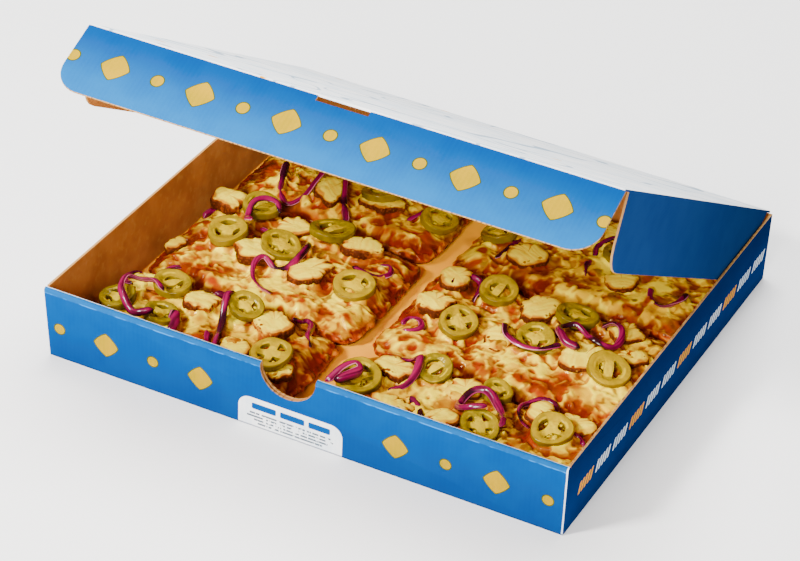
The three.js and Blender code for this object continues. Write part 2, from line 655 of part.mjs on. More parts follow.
const lid = new THREE.Group();
lid.position.set(0, TRAY.depth / 2, TRAY.height);
lid.rotation.x = radians(-LID.openAngle);
lid.add(named(new THREE.Mesh(lidGeometry()), "lid", materials.lid));

const flap = new THREE.Group();
flap.position.set(0, -LID_DEPTH, CLEAR);
flap.rotation.x = radians(FLAP.fold);
flap.add(named(new THREE.Mesh(frontFlapGeometry()), "front_flap", materials.print));
lid.add(flap);

const box = new THREE.Group();
box.add(named(new THREE.Mesh(trayGeometry()), "tray", materials.print));
box.add(pizza);
box.add(lid);

export default box;
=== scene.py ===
# %% [markdown]
# # A pizza in its takeaway box
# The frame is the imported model: tray, lid, front flap, six slices and the loose toppings, each in
# its place. This script dresses it. The board gets its print, its bare brown side and its cut
# edges, and the food is remade with the relief and colours of a real pizza, over the same solids.

# %% Load the frame
import itertools
import math

import bpy
import numpy as np
from mathutils import Matrix, Quaternion, Vector
from mathutils.bvhtree import BVHTree


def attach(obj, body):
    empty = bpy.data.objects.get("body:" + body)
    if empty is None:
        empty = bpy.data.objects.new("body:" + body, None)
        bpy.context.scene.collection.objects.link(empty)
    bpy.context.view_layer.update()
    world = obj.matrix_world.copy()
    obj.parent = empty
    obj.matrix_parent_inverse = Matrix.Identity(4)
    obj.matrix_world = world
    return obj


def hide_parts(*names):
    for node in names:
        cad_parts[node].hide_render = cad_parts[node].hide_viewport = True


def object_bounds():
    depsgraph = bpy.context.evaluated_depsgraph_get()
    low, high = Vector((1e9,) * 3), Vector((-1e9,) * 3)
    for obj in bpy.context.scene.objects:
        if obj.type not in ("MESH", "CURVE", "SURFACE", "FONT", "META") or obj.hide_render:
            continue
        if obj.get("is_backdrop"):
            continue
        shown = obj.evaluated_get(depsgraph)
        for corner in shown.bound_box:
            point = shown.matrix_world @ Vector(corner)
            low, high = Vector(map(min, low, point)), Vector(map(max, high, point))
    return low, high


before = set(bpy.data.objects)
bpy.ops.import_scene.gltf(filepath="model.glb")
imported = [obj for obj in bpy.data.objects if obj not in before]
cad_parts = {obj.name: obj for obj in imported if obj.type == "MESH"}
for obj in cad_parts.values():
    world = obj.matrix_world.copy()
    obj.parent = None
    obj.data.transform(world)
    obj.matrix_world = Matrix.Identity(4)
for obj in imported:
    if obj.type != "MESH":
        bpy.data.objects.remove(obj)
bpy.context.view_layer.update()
MM = 0.001

# %% [markdown]
# ## Camera
# The box is seen from its right front corner, from well above, with a long lens. The camera is
# leaned a little, so the box seems to slope down to the right.

# %% Camera
CAMERA_PLACE = (0.7366, -1.6668, 1.2134)
AZIMUTH, ELEVATION, ROLL = (math.radians(angle) for angle in (24.29, 33.06, 4.43))
LENS, SENSOR = 141.4, 36.0

bpy.ops.object.select_all(action="DESELECT")
bpy.ops.object.camera_add(location=CAMERA_PLACE)
camera = bpy.context.object
camera.name = "camera"
camera.data.lens = LENS
camera.data.sensor_width = SENSOR
turned = Matrix.Rotation(AZIMUTH, 3, "Z") @ Matrix.Rotation(math.pi / 2 - ELEVATION, 3, "X")
camera.rotation_euler = (turned @ Matrix.Rotation(ROLL, 3, "Z")).to_euler()
camera.data.clip_end = 50
bpy.context.scene.camera = camera
print("camera looks from", CAMERA_PLACE)

# %% [markdown]
# ## Light and floor
# A soft light stands high on the left, so the right wall and the inside of the left one lie in
# shade and the shadow falls softly to the right. A weaker one from the front reaches in under the
# lid, and a wide one overhead keeps the lid and the floor pale.

# %% Light and floor
LIT_POINT = Vector((0, 0, 0.03))
WORLD_STRENGTH = 0.16
FLOOR_SIZE = 12


def area_light(name, place, size, power, colour=(1, 1, 1)):
    """A square soft light aimed at the middle of the box."""
    bpy.ops.object.light_add(type="AREA", location=place)
    light = bpy.context.object
    light.name = name
    light.data.shape = "SQUARE"
    light.data.size = size
    light.data.energy = power
    light.data.color = colour
    light.rotation_euler = (LIT_POINT - Vector(place)).to_track_quat("-Z", "Y").to_euler()


area_light("key_light", (-1.25, -1.85, 1.75), size=0.45, power=156, colour=(1.0, 0.98, 0.95))
area_light("fill_light", (0.35, -2.3, 1.2), size=0.7, power=86, colour=(1.0, 0.97, 0.93))
area_light("top_light", (-0.3, 0.6, 2.6), size=1.4, power=165)

world = bpy.data.worlds.new("studio")
world.use_nodes = True
background = world.node_tree.nodes["Background"]
background.inputs["Color"].default_value = (1, 1, 1, 1)
background.inputs["Strength"].default_value = WORLD_STRENGTH
bpy.context.scene.world = world

bpy.ops.mesh.primitive_plane_add(size=FLOOR_SIZE)
floor = bpy.context.object
floor.name = "floor"
floor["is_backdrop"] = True
print("three soft lights and a floor")

# %% [markdown]
# ## Small tools for materials
# Every material is made of nodes that read the piece's own coordinates or its attributes. These
# helpers add a node and join its inputs, so that a material reads like a recipe.

# %% Node helpers
def shade(tree, kind, inputs=(), output=0, **settings):
    """Adds a shader node, sets or joins its inputs, and gives one output."""
    made = tree.nodes.new("ShaderNode" + kind)
    for key, value in settings.items():
        setattr(made, key, value)
    pairs = inputs.items() if isinstance(inputs, dict) else enumerate(inputs)
    for key, value in pairs:
        if isinstance(value, bpy.types.NodeSocket):
            tree.links.new(value, made.inputs[key])
        elif value is not None:
            made.inputs[key].default_value = value
    return made.outputs[output]


def calc(tree, operation, *values):
    return shade(tree, "Math", values, operation=operation)


def plus(tree, first, second):
    return calc(tree, "ADD", first, second)


def minus(tree, first, second):
    return calc(tree, "SUBTRACT", first, second)


def times(tree, first, second):
    return calc(tree, "MULTIPLY", first, second)


def mix(tree, share, first, second, blend="MIX"):
    """Mixes two colours."""
    first, second = ((*c, 1) if isinstance(c, tuple) else c for c in (first, second))
    inputs = {0: share, 6: first, 7: second}
    return shade(tree, "Mix", inputs, 2, data_type="RGBA", blend_type=blend)


def between(tree, value, low, high):
    """0 below low, 1 above high, smooth between; turned round where low is above high."""
    inputs = {0: value, 1: min(low, high), 2: max(low, high)}
    made = shade(tree, "MapRange", inputs, interpolation_type="SMOOTHSTEP")
    return minus(tree, 1.0, made) if low > high else made


def between_mm(tree, value, low, high):
    """The same, with low and high in millimetres."""
    return between(tree, value, low * MM, high * MM)


def attribute(tree, name):
    return shade(tree, "Attribute", output="Fac", attribute_name=name)


def place_of(tree):
    """The piece's own coordinates, and their x, y and z."""
    place = shade(tree, "TexCoord", output="Object")
    parts = shade(tree, "SeparateXYZ", [place]).node
    return place, parts.outputs[0], parts.outputs[1], parts.outputs[2]


def grain(tree, place, scale, detail=3.0, stretch=None):
    """Noise from about 0 to 1, with scale lumps to a metre."""
    if stretch:
        place = shade(tree, "Mapping", {"Vector": place, "Scale": stretch})
    return shade(tree, "TexNoise", {"Vector": place, "Scale": scale, "Detail": detail})


def bump(tree, height, distance, strength=1.0):
    return shade(tree, "Bump", {"Height": height, "Distance": distance, "Strength": strength})


def finish(name, changing, **sockets):
    """A material with one Principled shader. changing(tree) gives the inputs that vary over it."""
    material = bpy.data.materials.new(name)
    material.use_nodes = True
    tree = material.node_tree
    shader = tree.nodes["Principled BSDF"]
    for key, value in sockets.items():
        shader.inputs[key.replace("_", " ")].default_value = value
    for key, value in changing(tree).items():
        tree.links.new(value, shader.inputs[key])
    return material


def group(name, inputs, outputs, build):
    """A node group: build(tree, inputs) gives its outputs. A material places it with use()."""
    tree = bpy.data.node_groups.new(name, "ShaderNodeTree")
    for label, kind in inputs:
        tree.interface.new_socket(label, in_out="INPUT", socket_type=kind)
    for label in outputs:
        tree.interface.new_socket(label, in_out="OUTPUT", socket_type="NodeSocketFloat")
    entry = tree.nodes.new("NodeGroupInput")
    leave = tree.nodes.new("NodeGroupOutput")
    for label, socket in build(tree, entry.outputs).items():
        tree.links.new(socket, leave.inputs[label])
    return tree


def use(tree, made, output, **inputs):
    """Places a node group, sets or joins its inputs, and gives the outputs that are asked for."""
    node = tree.nodes.new("ShaderNodeGroup")
    node.node_tree = made
    for label, value in inputs.items():
        socket = node.inputs[label.replace("_", " ")]
        if isinstance(value, bpy.types.NodeSocket):
            tree.links.new(value, socket)
        else:
            socket.default_value = value
    return node.outputs[output] if isinstance(output, str) else [node.outputs[o] for o in output]


FLOAT, VECTOR = "NodeSocketFloat", "NodeSocketVector"


def floor_colour(tree):
    """Pale paper, hardly mottled."""
    cloud = grain(tree, place_of(tree)[0], 1.5, 2.0)
    return {"Base Color": mix(tree, cloud, (0.88, 0.88, 0.88), (0.92, 0.92, 0.92))}


FLOOR = finish("studio_floor", floor_colour, Roughness=0.9, Specular_IOR_Level=0.1)
floor.data.materials.append(FLOOR)
print("node helpers ready")

# %% [markdown]
# ## What the board materials share
# Corrugated board is two paper liners on a wavy core. The waves show through the liners as faint
# ribs, the paper has a mottle and fine fibres, and print on it is a flat field of colour with clean
# edges. Each of these is a node group.

# %% Board node groups
RIB_PITCH = 3.3  # mm from wave to wave of the core


def build_paper(tree, given):
    """Mottle of the pulp, and a height of fibres and faint ribs."""
    cloud = grain(tree, given["Place"], 45.0, 4.0)
    fibre = grain(tree, given["Place"], 900.0, 2.0)
    wave = calc(tree, "SINE", times(tree, given["Across"], 2 * math.pi / (RIB_PITCH * MM)))
    ribs = times(tree, wave, given["Rib depth"])
    height = plus(tree, times(tree, fibre, 0.25), ribs)
    return {"Mottle": cloud, "Ribs": wave, "Height": height}


PAPER = group("paper", [("Place", VECTOR), ("Across", FLOAT), ("Rib depth", FLOAT)],
              ["Mottle", "Ribs", "Height"], build_paper)


def build_patch(tree, given):
    """1 inside a rectangle with rounded corners, 0 outside."""
    squares = []
    for axis in "XY":
        away = calc(tree, "ABSOLUTE", minus(tree, given[axis], given["Middle " + axis]))
        past = plus(tree, minus(tree, away, given["Half " + axis]), given["Corner"])
        reach = calc(tree, "MAXIMUM", past, 0.0)
        squares.append(times(tree, reach, reach))
    far = calc(tree, "SQRT", plus(tree, *squares))
    return {"Inside": calc(tree, "LESS_THAN", far, given["Corner"])}


PATCH_INPUTS = ["X", "Y", "Middle X", "Middle Y", "Half X", "Half Y", "Corner"]
PATCH = group("patch", [(label, FLOAT) for label in PATCH_INPUTS], ["Inside"], build_patch)


def patch(tree, x, y, middle, half, corner):
    """The same with its middle, half size and corner radius in millimetres."""
    labels = ["Middle_X", "Middle_Y", "Half_X", "Half_Y"]
    values = dict(zip(labels, [v * MM for v in (*middle, *half)]))
    return use(tree, PATCH, "Inside", X=x, Y=y, Corner=corner * MM, **values)


LOZENGE_POWER = 1.25  # 1 gives straight sides, 2 a circle
DOT_SHARE = 0.42  # of the lozenge's size
MOTIF_LINE = 0.8  # mm


def build_motifs(tree, given):
    """A row of lozenges with dots between them, and the thin dark line round each."""
    half_pitch = times(tree, given["Pitch"], 0.5)
    low = times(tree, half_pitch, -1.0)
    across = calc(tree, "ABSOLUTE", minus(tree, given["Across"], given["Middle"]))
    along = calc(tree, "ABSOLUTE", calc(tree, "WRAP", given["Along"], half_pitch, low))
    beside = calc(tree, "WRAP", plus(tree, given["Along"], half_pitch), half_pitch, low)
    powers = [calc(tree, "POWER", value, LOZENGE_POWER) for value in (along, across)]
    lozenge = calc(tree, "POWER", plus(tree, *powers), 1 / LOZENGE_POWER)
    squares = [times(tree, value, value) for value in (beside, across)]
    dot = calc(tree, "SQRT", plus(tree, *squares))
    past = calc(tree, "MINIMUM", minus(tree, lozenge, given["Size"]),
                minus(tree, dot, times(tree, given["Size"], DOT_SHARE)))
    fill = calc(tree, "LESS_THAN", past, 0.0)
    line = calc(tree, "LESS_THAN", past, MOTIF_LINE * MM)
    return {"Fill": fill, "Line": line}


MOTIF_INPUTS = ["Along", "Across", "Middle", "Pitch", "Size"]
MOTIFS = group("motifs", [(label, FLOAT) for label in MOTIF_INPUTS], ["Fill", "Line"], build_motifs)
print("board groups:", PAPER.name, PATCH.name, MOTIFS.name)

# %% [markdown]
# ## Print, bare board and cut edge
# The outside is printed blue with yellow motifs and a white panel below the thumb notch. Print rubs
# pale where the board is folded, and the front wall's rolled fold also carries a painted highlight.
# The side walls, the lid's side flaps and the front wall's foot carry painted shade as darker blue.
# The inside is brown and takes up grease, and a cut edge shows the pale core with painted shade in
# the gaps between its waves.

# %% Board colours
BLUE = (0.001, 0.053, 0.215)
LOW_BLUE = (0.001, 0.043, 0.185)
# painted shade: a darker copy of the blue, for the lid's side flaps and along the front wall's foot
PAINTED_SHADE_BLUE = (0.004, 0.024, 0.09)
SKY = (0.001, 0.116, 0.32)
YELLOW = (0.39, 0.232, 0.001)
OLIVE_LINE = (0.04, 0.06, 0.008)
WHITE = (0.88, 0.88, 0.88)
GREY = (0.10, 0.12, 0.15)
WORN = (0.74, 0.80, 0.84)
ORANGE = (0.85, 0.36, 0.002)
CRACK = (0.01, 0.22, 0.62)
SHADED_BLUE = [(0.001, 0.030, 0.15), (0.001, 0.015, 0.08)]  # of the side walls, foot and top
DASH_WHITE = (0.66, 0.74, 0.80)
KRAFT = (0.44, 0.165, 0.036)
DARK_KRAFT = (0.31, 0.105, 0.020)
KRAFT_FIBRE = (0.52, 0.24, 0.060)
KRAFT_FLOOR = (0.95, 0.42, 0.008)
GREASE = (0.42, 0.13, 0.015)
CUT = (0.46, 0.25, 0.080)
CUT_GAP_SHADE = (0.10, 0.045, 0.015)


def paper(tree, across="x", rib_depth=0.35):
    """The place, its x, y and z, and the look of the paper there: mottle, ribs and height."""
    place, x, y, z = place_of(tree)
    look = use(tree, PAPER, ["Mottle", "Ribs", "Height"], Place=place,
               Across={"x": x, "z": z}[across], Rib_depth=rib_depth)
    return place, x, y, z, look


def printed(tree, colour, look):
    """Print with the paper's mottle and faint ribs in it."""
    mottle, ribs, height = look
    cloudy = mix(tree, between(tree, mottle, 0.35, 0.7), colour, (0.80, 0.88, 0.94), "MULTIPLY")
    faint = times(tree, between(tree, ribs, -0.6, 1.0), between(tree, mottle, 0.3, 0.6))
    ribbed = mix(tree, times(tree, faint, 0.5), cloudy, (0.88, 0.92, 0.96), "MULTIPLY")
    return {"Base Color": ribbed, "Normal": bump(tree, height, 0.03 * MM)}


def print_motifs(tree, ground, along, across, middle, pitch, size):
    """Yellow motifs in a row, with middle, pitch and size in millimetres."""
    fill, line = use(tree, MOTIFS, ["Fill", "Line"], Along=along, Across=across,
                     Middle=middle * MM, Pitch=pitch * MM, Size=size * MM)
    return mix(tree, fill, mix(tree, line, ground, OLIVE_LINE), YELLOW)


TRAY_TOP = 54.0
PANEL_X = -6.5
PANEL_BARS = [((-26, 17), (9, 2.4)), ((-5, 17), (9, 2.4)), ((15, 17), (8, 2.4))]  # middle, half size
PANEL_LINES = [30, 32, 28, 24]  # half the width of each
LINE_TOP, LINE_PITCH = 11.2, 2.6


def rub_folds(tree, ground, place, x, y, z):
    """Print rubbed pale on the rolled top and the right corner, a band of wear and painted highlight
    along the fold, and painted shade at the foot where the wall turns under.
    """
    worn = grain(tree, place, 130.0, 4.0)
    uneven = times(tree, minus(tree, worn, 0.5), 1.6 * MM)
    level = plus(tree, z, uneven)
    # the paler band along the fold is partly worn print and partly a painted highlight on the roll
    fold = between_mm(tree, level, TRAY_TOP - 4.0, TRAY_TOP - 3.4)
    ground = mix(tree, times(tree, fold, 0.55), ground, SKY)
    crack = times(tree, fold, between_mm(tree, level, TRAY_TOP - 2.6, TRAY_TOP - 3.2))
    ground = mix(tree, times(tree, crack, between(tree, worn, 0.4, 0.6)), ground, CRACK)
    back = plus(tree, y, times(tree, uneven, 0.3))
    rim = times(tree, between_mm(tree, z, TRAY_TOP - 0.9, TRAY_TOP - 0.5),
                between_mm(tree, back, -176.9, -176.5))
    corner = between_mm(tree, plus(tree, x, times(tree, uneven, 0.4)), 188.7, 189.1)
    ground = mix(tree, calc(tree, "MAXIMUM", rim, times(tree, corner, 0.85)), ground, WORN)
    # painted shade: the blue darkens along the wall's foot, where it turns under towards the floor
    foot = times(tree, between_mm(tree, z, 1.5, 0.6), 0.7)
    return mix(tree, foot, ground, PAINTED_SHADE_BLUE)


def front_print(tree):
    """Motifs beside a white panel that holds three bars and four broken lines."""
    place, x, y, z, look = paper(tree)
    ground = mix(tree, between_mm(tree, z, 0.0, TRAY_TOP), LOW_BLUE, BLUE)
    clear = patch(tree, x, z, (PANEL_X, 10), (49, 30), 2)
    shifted = plus(tree, x, 2.0 * MM)
    with_motifs = print_motifs(tree, ground, shifted, z, middle=24.0, pitch=72.0, size=9.0)
    ground = mix(tree, clear, with_motifs, ground)
    panel = patch(tree, x, z, (PANEL_X, 5.0), (38.5, 18.5), 9)
    ground = mix(tree, panel, ground, WHITE)
    for middle, half in PANEL_BARS:
        ground = mix(tree, patch(tree, x, z, middle, half, 1.0), ground, BLUE)
    broken = between(tree, grain(tree, place, 520.0, 1.0, (1.0, 1.0, 0.3)), 0.40, 0.46)
    for k, width in enumerate(PANEL_LINES):
        row = patch(tree, x, z, (PANEL_X, LINE_TOP - LINE_PITCH * k), (width, 0.7), 0.3)
        ground = mix(tree, times(tree, row, broken), ground, GREY)
    return printed(tree, rub_folds(tree, ground, place, x, y, z), look)


STROKE = 4.6  # mm from dash to dash
WORD = 6 * STROKE  # the sixth dash is left out
DASHES_START = 165.0


def side_print(tree):
    """A row of slanted dashes in words, every third word orange."""
    _, _, y, z, look = paper(tree, "z")
    slanted = plus(tree, plus(tree, y, DASHES_START * MM), times(tree, z, -0.35))
    place_in_stroke = calc(tree, "WRAP", slanted, STROKE * MM, 0.0)
    place_in_word = calc(tree, "WRAP", slanted, WORD * MM, 0.0)
    cell = calc(tree, "FLOOR", calc(tree, "DIVIDE", slanted, WORD * MM))
    dash = patch(tree, place_in_stroke, z, (2.3, 24), (1.45, 4.4), 0.9)
    kept = calc(tree, "LESS_THAN", place_in_word, (WORD - STROKE) * MM)
    reach = patch(tree, slanted, z, (163.3, 24), (163.3, 8), 1)
    third = calc(tree, "COMPARE", calc(tree, "WRAP", cell, 3.0, 0.0), 0.0, 0.5)
    colour = mix(tree, third, DASH_WHITE, ORANGE)
    low = mix(tree, between_mm(tree, z, 0.0, TRAY_TOP), *SHADED_BLUE)
    ground = mix(tree, times(tree, times(tree, dash, kept), reach), low, colour)
    return printed(tree, ground, look)


def plain_print(tree):
    """Plain blue."""
    return printed(tree, BLUE, paper(tree)[-1])


def kraft(tree):
    """Brown liner with lighter fibres, a golden floor, and grease low down."""
    place, _, _, z, (mottle, _, height) = paper(tree, rib_depth=0.15)
    fibre = grain(tree, place, 700.0, 2.0, (1.0, 0.25, 0.25))
    ground = mix(tree, between(tree, mottle, 0.3, 0.75), KRAFT, DARK_KRAFT)
    ground = mix(tree, times(tree, between(tree, fibre, 0.5, 0.75), 0.3), ground, KRAFT_FIBRE)
    ground = mix(tree, between_mm(tree, z, 3.0, 1.7), ground, KRAFT_FLOOR)
    grease = between(tree, grain(tree, place, 17.0, 3.0), 0.5, 0.62)
    low = between_mm(tree, z, 16.0, 1.0)
    ground = mix(tree, times(tree, times(tree, grease, low), 0.6), ground, GREASE)
    return {"Base Color": ground, "Normal": bump(tree, height, 0.05 * MM)}


def cut_edge(tree):
    """The pale core, with painted shade in the gaps between its waves."""
    place, _, _, _, (_, ribs, height) = paper(tree, rib_depth=0.8)
    crumbs = between(tree, grain(tree, place, 420.0), 0.35, 0.6)
    # painted shade in the open channels between the core's waves
    gap = times(tree, between(tree, ribs, 0.1, 0.9), crumbs)
    ground = mix(tree, times(tree, gap, 0.75), CUT, CUT_GAP_SHADE)
    return {"Base Color": ground, "Normal": bump(tree, height, 0.2 * MM)}


PRINT_GLOSS = {"Roughness": 0.6, "Specular_IOR_Level": 0.0}
FRONT = finish("front_print", front_print, **PRINT_GLOSS)
SIDE = finish("side_print", side_print, **PRINT_GLOSS)
PLAIN = finish("plain_print", plain_print, **PRINT_GLOSS)
BARE = finish("bare_board", kraft, Roughness=0.8, Specular_IOR_Level=0.1)
EDGE = finish("cut_edge", cut_edge, Roughness=0.85, Specular_IOR_Level=0.1)
print("board finishes:", [m.name for m in (FRONT, SIDE, PLAIN, BARE, EDGE)])

# %% [markdown]
# ## Picking and shaping faces
# Each board piece starts as a merged copy of its solid. Flat faces are joined, the folds are
# rounded as board bends, and each face gets the finish of its side: outside print, bare inside or
# cut edge.

# %% Mesh helpers
FOLD_WIDTH = 0.35  # mm
FOLD_LIMIT, SMOOTH_LIMIT = math.radians(40), math.radians(35)


def deselect():
    if bpy.context.object and bpy.context.object.mode != "OBJECT":
        bpy.ops.object.mode_set(mode="OBJECT")
    bpy.ops.object.select_all(action="DESELECT")


def make_active(piece):
    deselect()
    piece.select_set(True)
    bpy.context.view_layer.objects.active = piece
    return piece


def copy_of(node, name):
    """A copy of a CAD node as a new piece, its doubled corners merged and flat faces joined."""
    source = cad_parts[node]
    piece = bpy.data.objects.new(name, source.data.copy())
    bpy.context.scene.collection.objects.link(piece)
    piece.data.materials.clear()
    make_active(piece)
    bpy.ops.object.mode_set(mode="EDIT")
    bpy.ops.mesh.select_all(action="SELECT")
    bpy.ops.mesh.remove_doubles(threshold=0.01 * MM)
    bpy.ops.mesh.dissolve_limited(angle_limit=math.radians(1))
    bpy.ops.object.mode_set(mode="OBJECT")
    return piece


def apply_modifier(piece, kind, **settings):
    make_active(piece)
    bpy.ops.object.modifier_add(type=kind)
    modifier = piece.modifiers[-1]
    for key, value in settings.items():
        setattr(modifier, key, value)
    bpy.ops.object.modifier_apply(modifier=modifier.name)


def round_folds(piece):
    """Rounds a board piece's edges a little and shades it smoothly over them."""
    apply_modifier(piece, "BEVEL", width=FOLD_WIDTH * MM, segments=2, limit_method="ANGLE",
                   angle_limit=FOLD_LIMIT)
    make_active(piece)
    bpy.ops.object.shade_smooth_by_angle(angle=SMOOTH_LIMIT)


def positions(mesh):
    flat = np.empty(len(mesh.vertices) * 3)
    mesh.vertices.foreach_get("co", flat)
    return flat.reshape(-1, 3)


def solid_corners(node):
    """The corners of a CAD node in mm, each one once."""
    return np.unique(np.round(positions(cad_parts[node].data) / MM, 3), axis=0)


def move_points(mesh, points):
    mesh.vertices.foreach_set("co", points.astype(np.float32).ravel())
    mesh.update()


def give_attribute(mesh, name, values):
    made = mesh.attributes.new(name, "FLOAT", "POINT")
    made.data.foreach_set("value", np.asarray(values, np.float32).ravel())


def smooth_all(mesh):
    mesh.polygons.foreach_set("use_smooth", [True] * len(mesh.polygons))


def give_finishes(piece, finishes, choose):
    """choose(middle in mm, normal) gives the name of each face's finish."""
    names = list(finishes)
    for name in names:
        piece.data.materials.append(finishes[name])
    for face in piece.data.polygons:
        face.material_index = names.index(choose(face.center / MM, face.normal))


print("mesh helpers ready")

# %% [markdown]
# ## The tray
# Four walls round a flat floor. The front wall is one board rolled over and down again, with a
# thumb notch cut through both layers.

# %% Tray
TRAY_HALF_WIDTH = 190.0
TRAY_HALF_DEPTH = 176.0
LEAN_LEFT = 3.6  # how far the left wall leans out at its top
FRONT_WALL_Y = -170.5
PLIES_Y, PLIES_LEAN = -174.6, 3.0  # the gap between the layers of the rolled wall
NOTCH_X, NOTCH_REACH = -9, 21
NEAR = 0.5  # mm


def front_wall_side(middle, normal):
    """The finish of a face of the rolled front wall."""
    in_notch = abs(middle.x - NOTCH_X) < NOTCH_REACH and middle.z < TRAY_TOP - NEAR
    if in_notch and abs(normal.y) < 0.25 and normal.z > -0.2:
        return "edge"
    if abs(normal.x) > 0.9 and abs(middle.x) > TRAY_HALF_WIDTH - 3:
        return "side"
    if normal.z < -0.9:
        return "plain"
    between_plies = normal.y < -0.6 and middle.y > PLIES_Y - PLIES_LEAN * middle.z / TRAY_TOP
    return "bare" if normal.y > 0.6 or between_plies else "front"


def tray_side(middle, normal):
    """The finish of any face of the tray."""
    if middle.y < FRONT_WALL_Y:
        return front_wall_side(middle, normal)
    if normal.z < -0.9:
        return "plain"
    if abs(normal.z) > 0.9:
        return "edge" if middle.z > TRAY_TOP - 3 else "bare"
    left = -TRAY_HALF_WIDTH - LEAN_LEFT * middle.z / TRAY_TOP
    if normal.x < -0.9 and middle.x < left + NEAR:
        return "side"
    if normal.x > 0.9 and middle.x > TRAY_HALF_WIDTH - NEAR:
        return "side"
    if normal.y > 0.9 and middle.y > TRAY_HALF_DEPTH - NEAR:
        return "plain"
    return "bare"


tray = copy_of("tray", "tray_board")
tray_finishes = {"front": FRONT, "side": SIDE, "plain": PLAIN, "bare": BARE, "edge": EDGE}
give_finishes(tray, tray_finishes, tray_side)
round_folds(tray)
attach(tray, "base")
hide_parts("tray")
print("tray:", len(tray.data.polygons), "faces")

# %% [markdown]
# ## The lid and its front flap
# The lid's top is white with pale line work, its side flaps and front flap are blue outside, and
# all of it is bare board underneath. The flap is hinged to the lid at a crease with a slot in it.

# %% Lid and flap finishes
LID_ANGLE = math.radians(30)
FLAP_ANGLE = math.radians(54)
HINGE = Vector((0, 0.176, 0.054))
CREASE = Vector((0, -0.13181, 0.23206))
LID_LENGTH, FLAP_LENGTH = 355.0, 53.0
LINE_WORK = (0.26, 0.36, 0.46)
# the front end of the painted shade on the lid's side flaps
LID_SIDE_FRONT = (0.010, 0.044, 0.16)


def along_board(tree, y, z, start, angle):
    """How far a point lies from a hinge line, down a board that rises at an angle."""
    back = times(tree, minus(tree, start.y, y), math.cos(angle))
    up = times(tree, minus(tree, z, start.z), math.sin(angle))
    return plus(tree, back, up)


def lid_print(tree):
    """Pale curling lines and a few orange dots on white."""
    place, x, y, z, look = paper(tree)
    flat = shade(tree, "CombineXYZ", [x, along_board(tree, y, z, HINGE, LID_ANGLE), 0.0])
    noise = {"Vector": flat, "Scale": 9.0, "Detail": 1.0, "Distortion": 0.6}
    swirl = shade(tree, "TexNoise", noise)
    bands = calc(tree, "PINGPONG", times(tree, swirl, 9.0), 1.0)
    lines = between(tree, bands, 0.12, 0.05)
    ground = mix(tree, times(tree, lines, 0.8), WHITE, LINE_WORK)
    cells = shade(tree, "TexVoronoi", {"Vector": flat, "Scale": 26.0}, "Distance")
    dots = times(tree, calc(tree, "LESS_THAN", cells, 0.10), between(tree, swirl, 0.5, 0.55))
    return printed(tree, mix(tree, dots, ground, ORANGE), look)


def lid_side_print(tree):
    """A darker copy of the blue as painted shade, lightening towards the front."""
    _, _, y, z, look = paper(tree, "z")
    down = along_board(tree, y, z, HINGE, LID_ANGLE)
    ground = mix(tree, between_mm(tree, down, 0.0, LID_LENGTH), PAINTED_SHADE_BLUE, LID_SIDE_FRONT)
    return printed(tree, ground, look)


def flap_print(tree):
    """A row of motifs on blue that lightens towards the flap's free edge."""
    _, x, y, z, look = paper(tree, rib_depth=0.5)
    down = along_board(tree, y, z, CREASE, LID_ANGLE - FLAP_ANGLE)
    ground = mix(tree, between_mm(tree, down, 0.0, FLAP_LENGTH), LOW_BLUE, SKY)
    shifted = plus(tree, x, 31.0 * MM)
    ground = print_motifs(tree, ground, shifted, down, middle=26.0, pitch=62.0, size=10.0)
    return printed(tree, ground, look)


LID_TOP = finish("lid_print", lid_print, **PRINT_GLOSS)
LID_SIDE = finish("lid_side_print", lid_side_print, **PRINT_GLOSS)
FLAP = finish("flap_print", flap_print, **PRINT_GLOSS)
print("lid finishes:", LID_TOP.name, LID_SIDE.name, FLAP.name)

# %% Lid
lid_turn = Matrix.Rotation(-LID_ANGLE, 3, "X")
flap_turn = Matrix.Rotation(FLAP_ANGLE - LID_ANGLE, 3, "X")
LID_UP, LID_ALONG = (lid_turn @ Vector(way) for way in ((0, 0, 1), (0, -1, 0)))
FLAP_UP, FLAP_ALONG = (flap_turn @ Vector(way) for way in ((0, 0, 1), (0, -1, 0)))
LID_HALF_WIDTH = 187


def lid_side(middle, normal):
    """The finish of a face of the lid or its side flaps."""
    above = (middle * MM - HINGE).dot(LID_UP)
    if normal.dot(LID_ALONG) > 0.9 and abs(middle.x) < LID_HALF_WIDTH and above > 0:
        return "top"
    if normal.dot(LID_UP) > 0.9:
        return "top" if above > 1.2 * MM else "edge"
    if abs(normal.x) > 0.9:
        return "side" if normal.x * middle.x > 0 else "bare"
    if normal.dot(LID_UP) < -0.9 and above > -5 * MM:
        return "bare"
    return "edge"


lid = copy_of("lid", "lid_board")
give_finishes(lid, {"top": LID_TOP, "side": LID_SIDE, "bare": BARE, "edge": EDGE}, lid_side)
round_folds(lid)
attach(lid, "lid")
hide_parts("lid")
print("lid:", len(lid.data.polygons), "faces")


def flap_side(middle, normal):
    """The finish of a face of the front flap."""
    facing = normal.dot(FLAP_UP)
    from_crease = (middle * MM - CREASE).dot(FLAP_ALONG)
    if facing > 0.9 or (normal.dot(FLAP_ALONG) < -0.9 and from_crease < 1 * MM):
        return "print"
    return "bare" if facing < -0.9 else "edge"


flap = copy_of("front_flap", "flap_board")
give_finishes(flap, {"print": FLAP, "bare": BARE, "edge": EDGE}, flap_side)
round_folds(flap)
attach(flap, "front_flap")
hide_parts("front_flap")
print("flap:", len(flap.data.polygons), "faces")

# %% [markdown]
# ## Random fields
# Melted cheese is uneven at many sizes. A field of random numbers blurred to a given size gives
# swells of that size, the same each run. Smooth noise at any point does the same for single pieces.

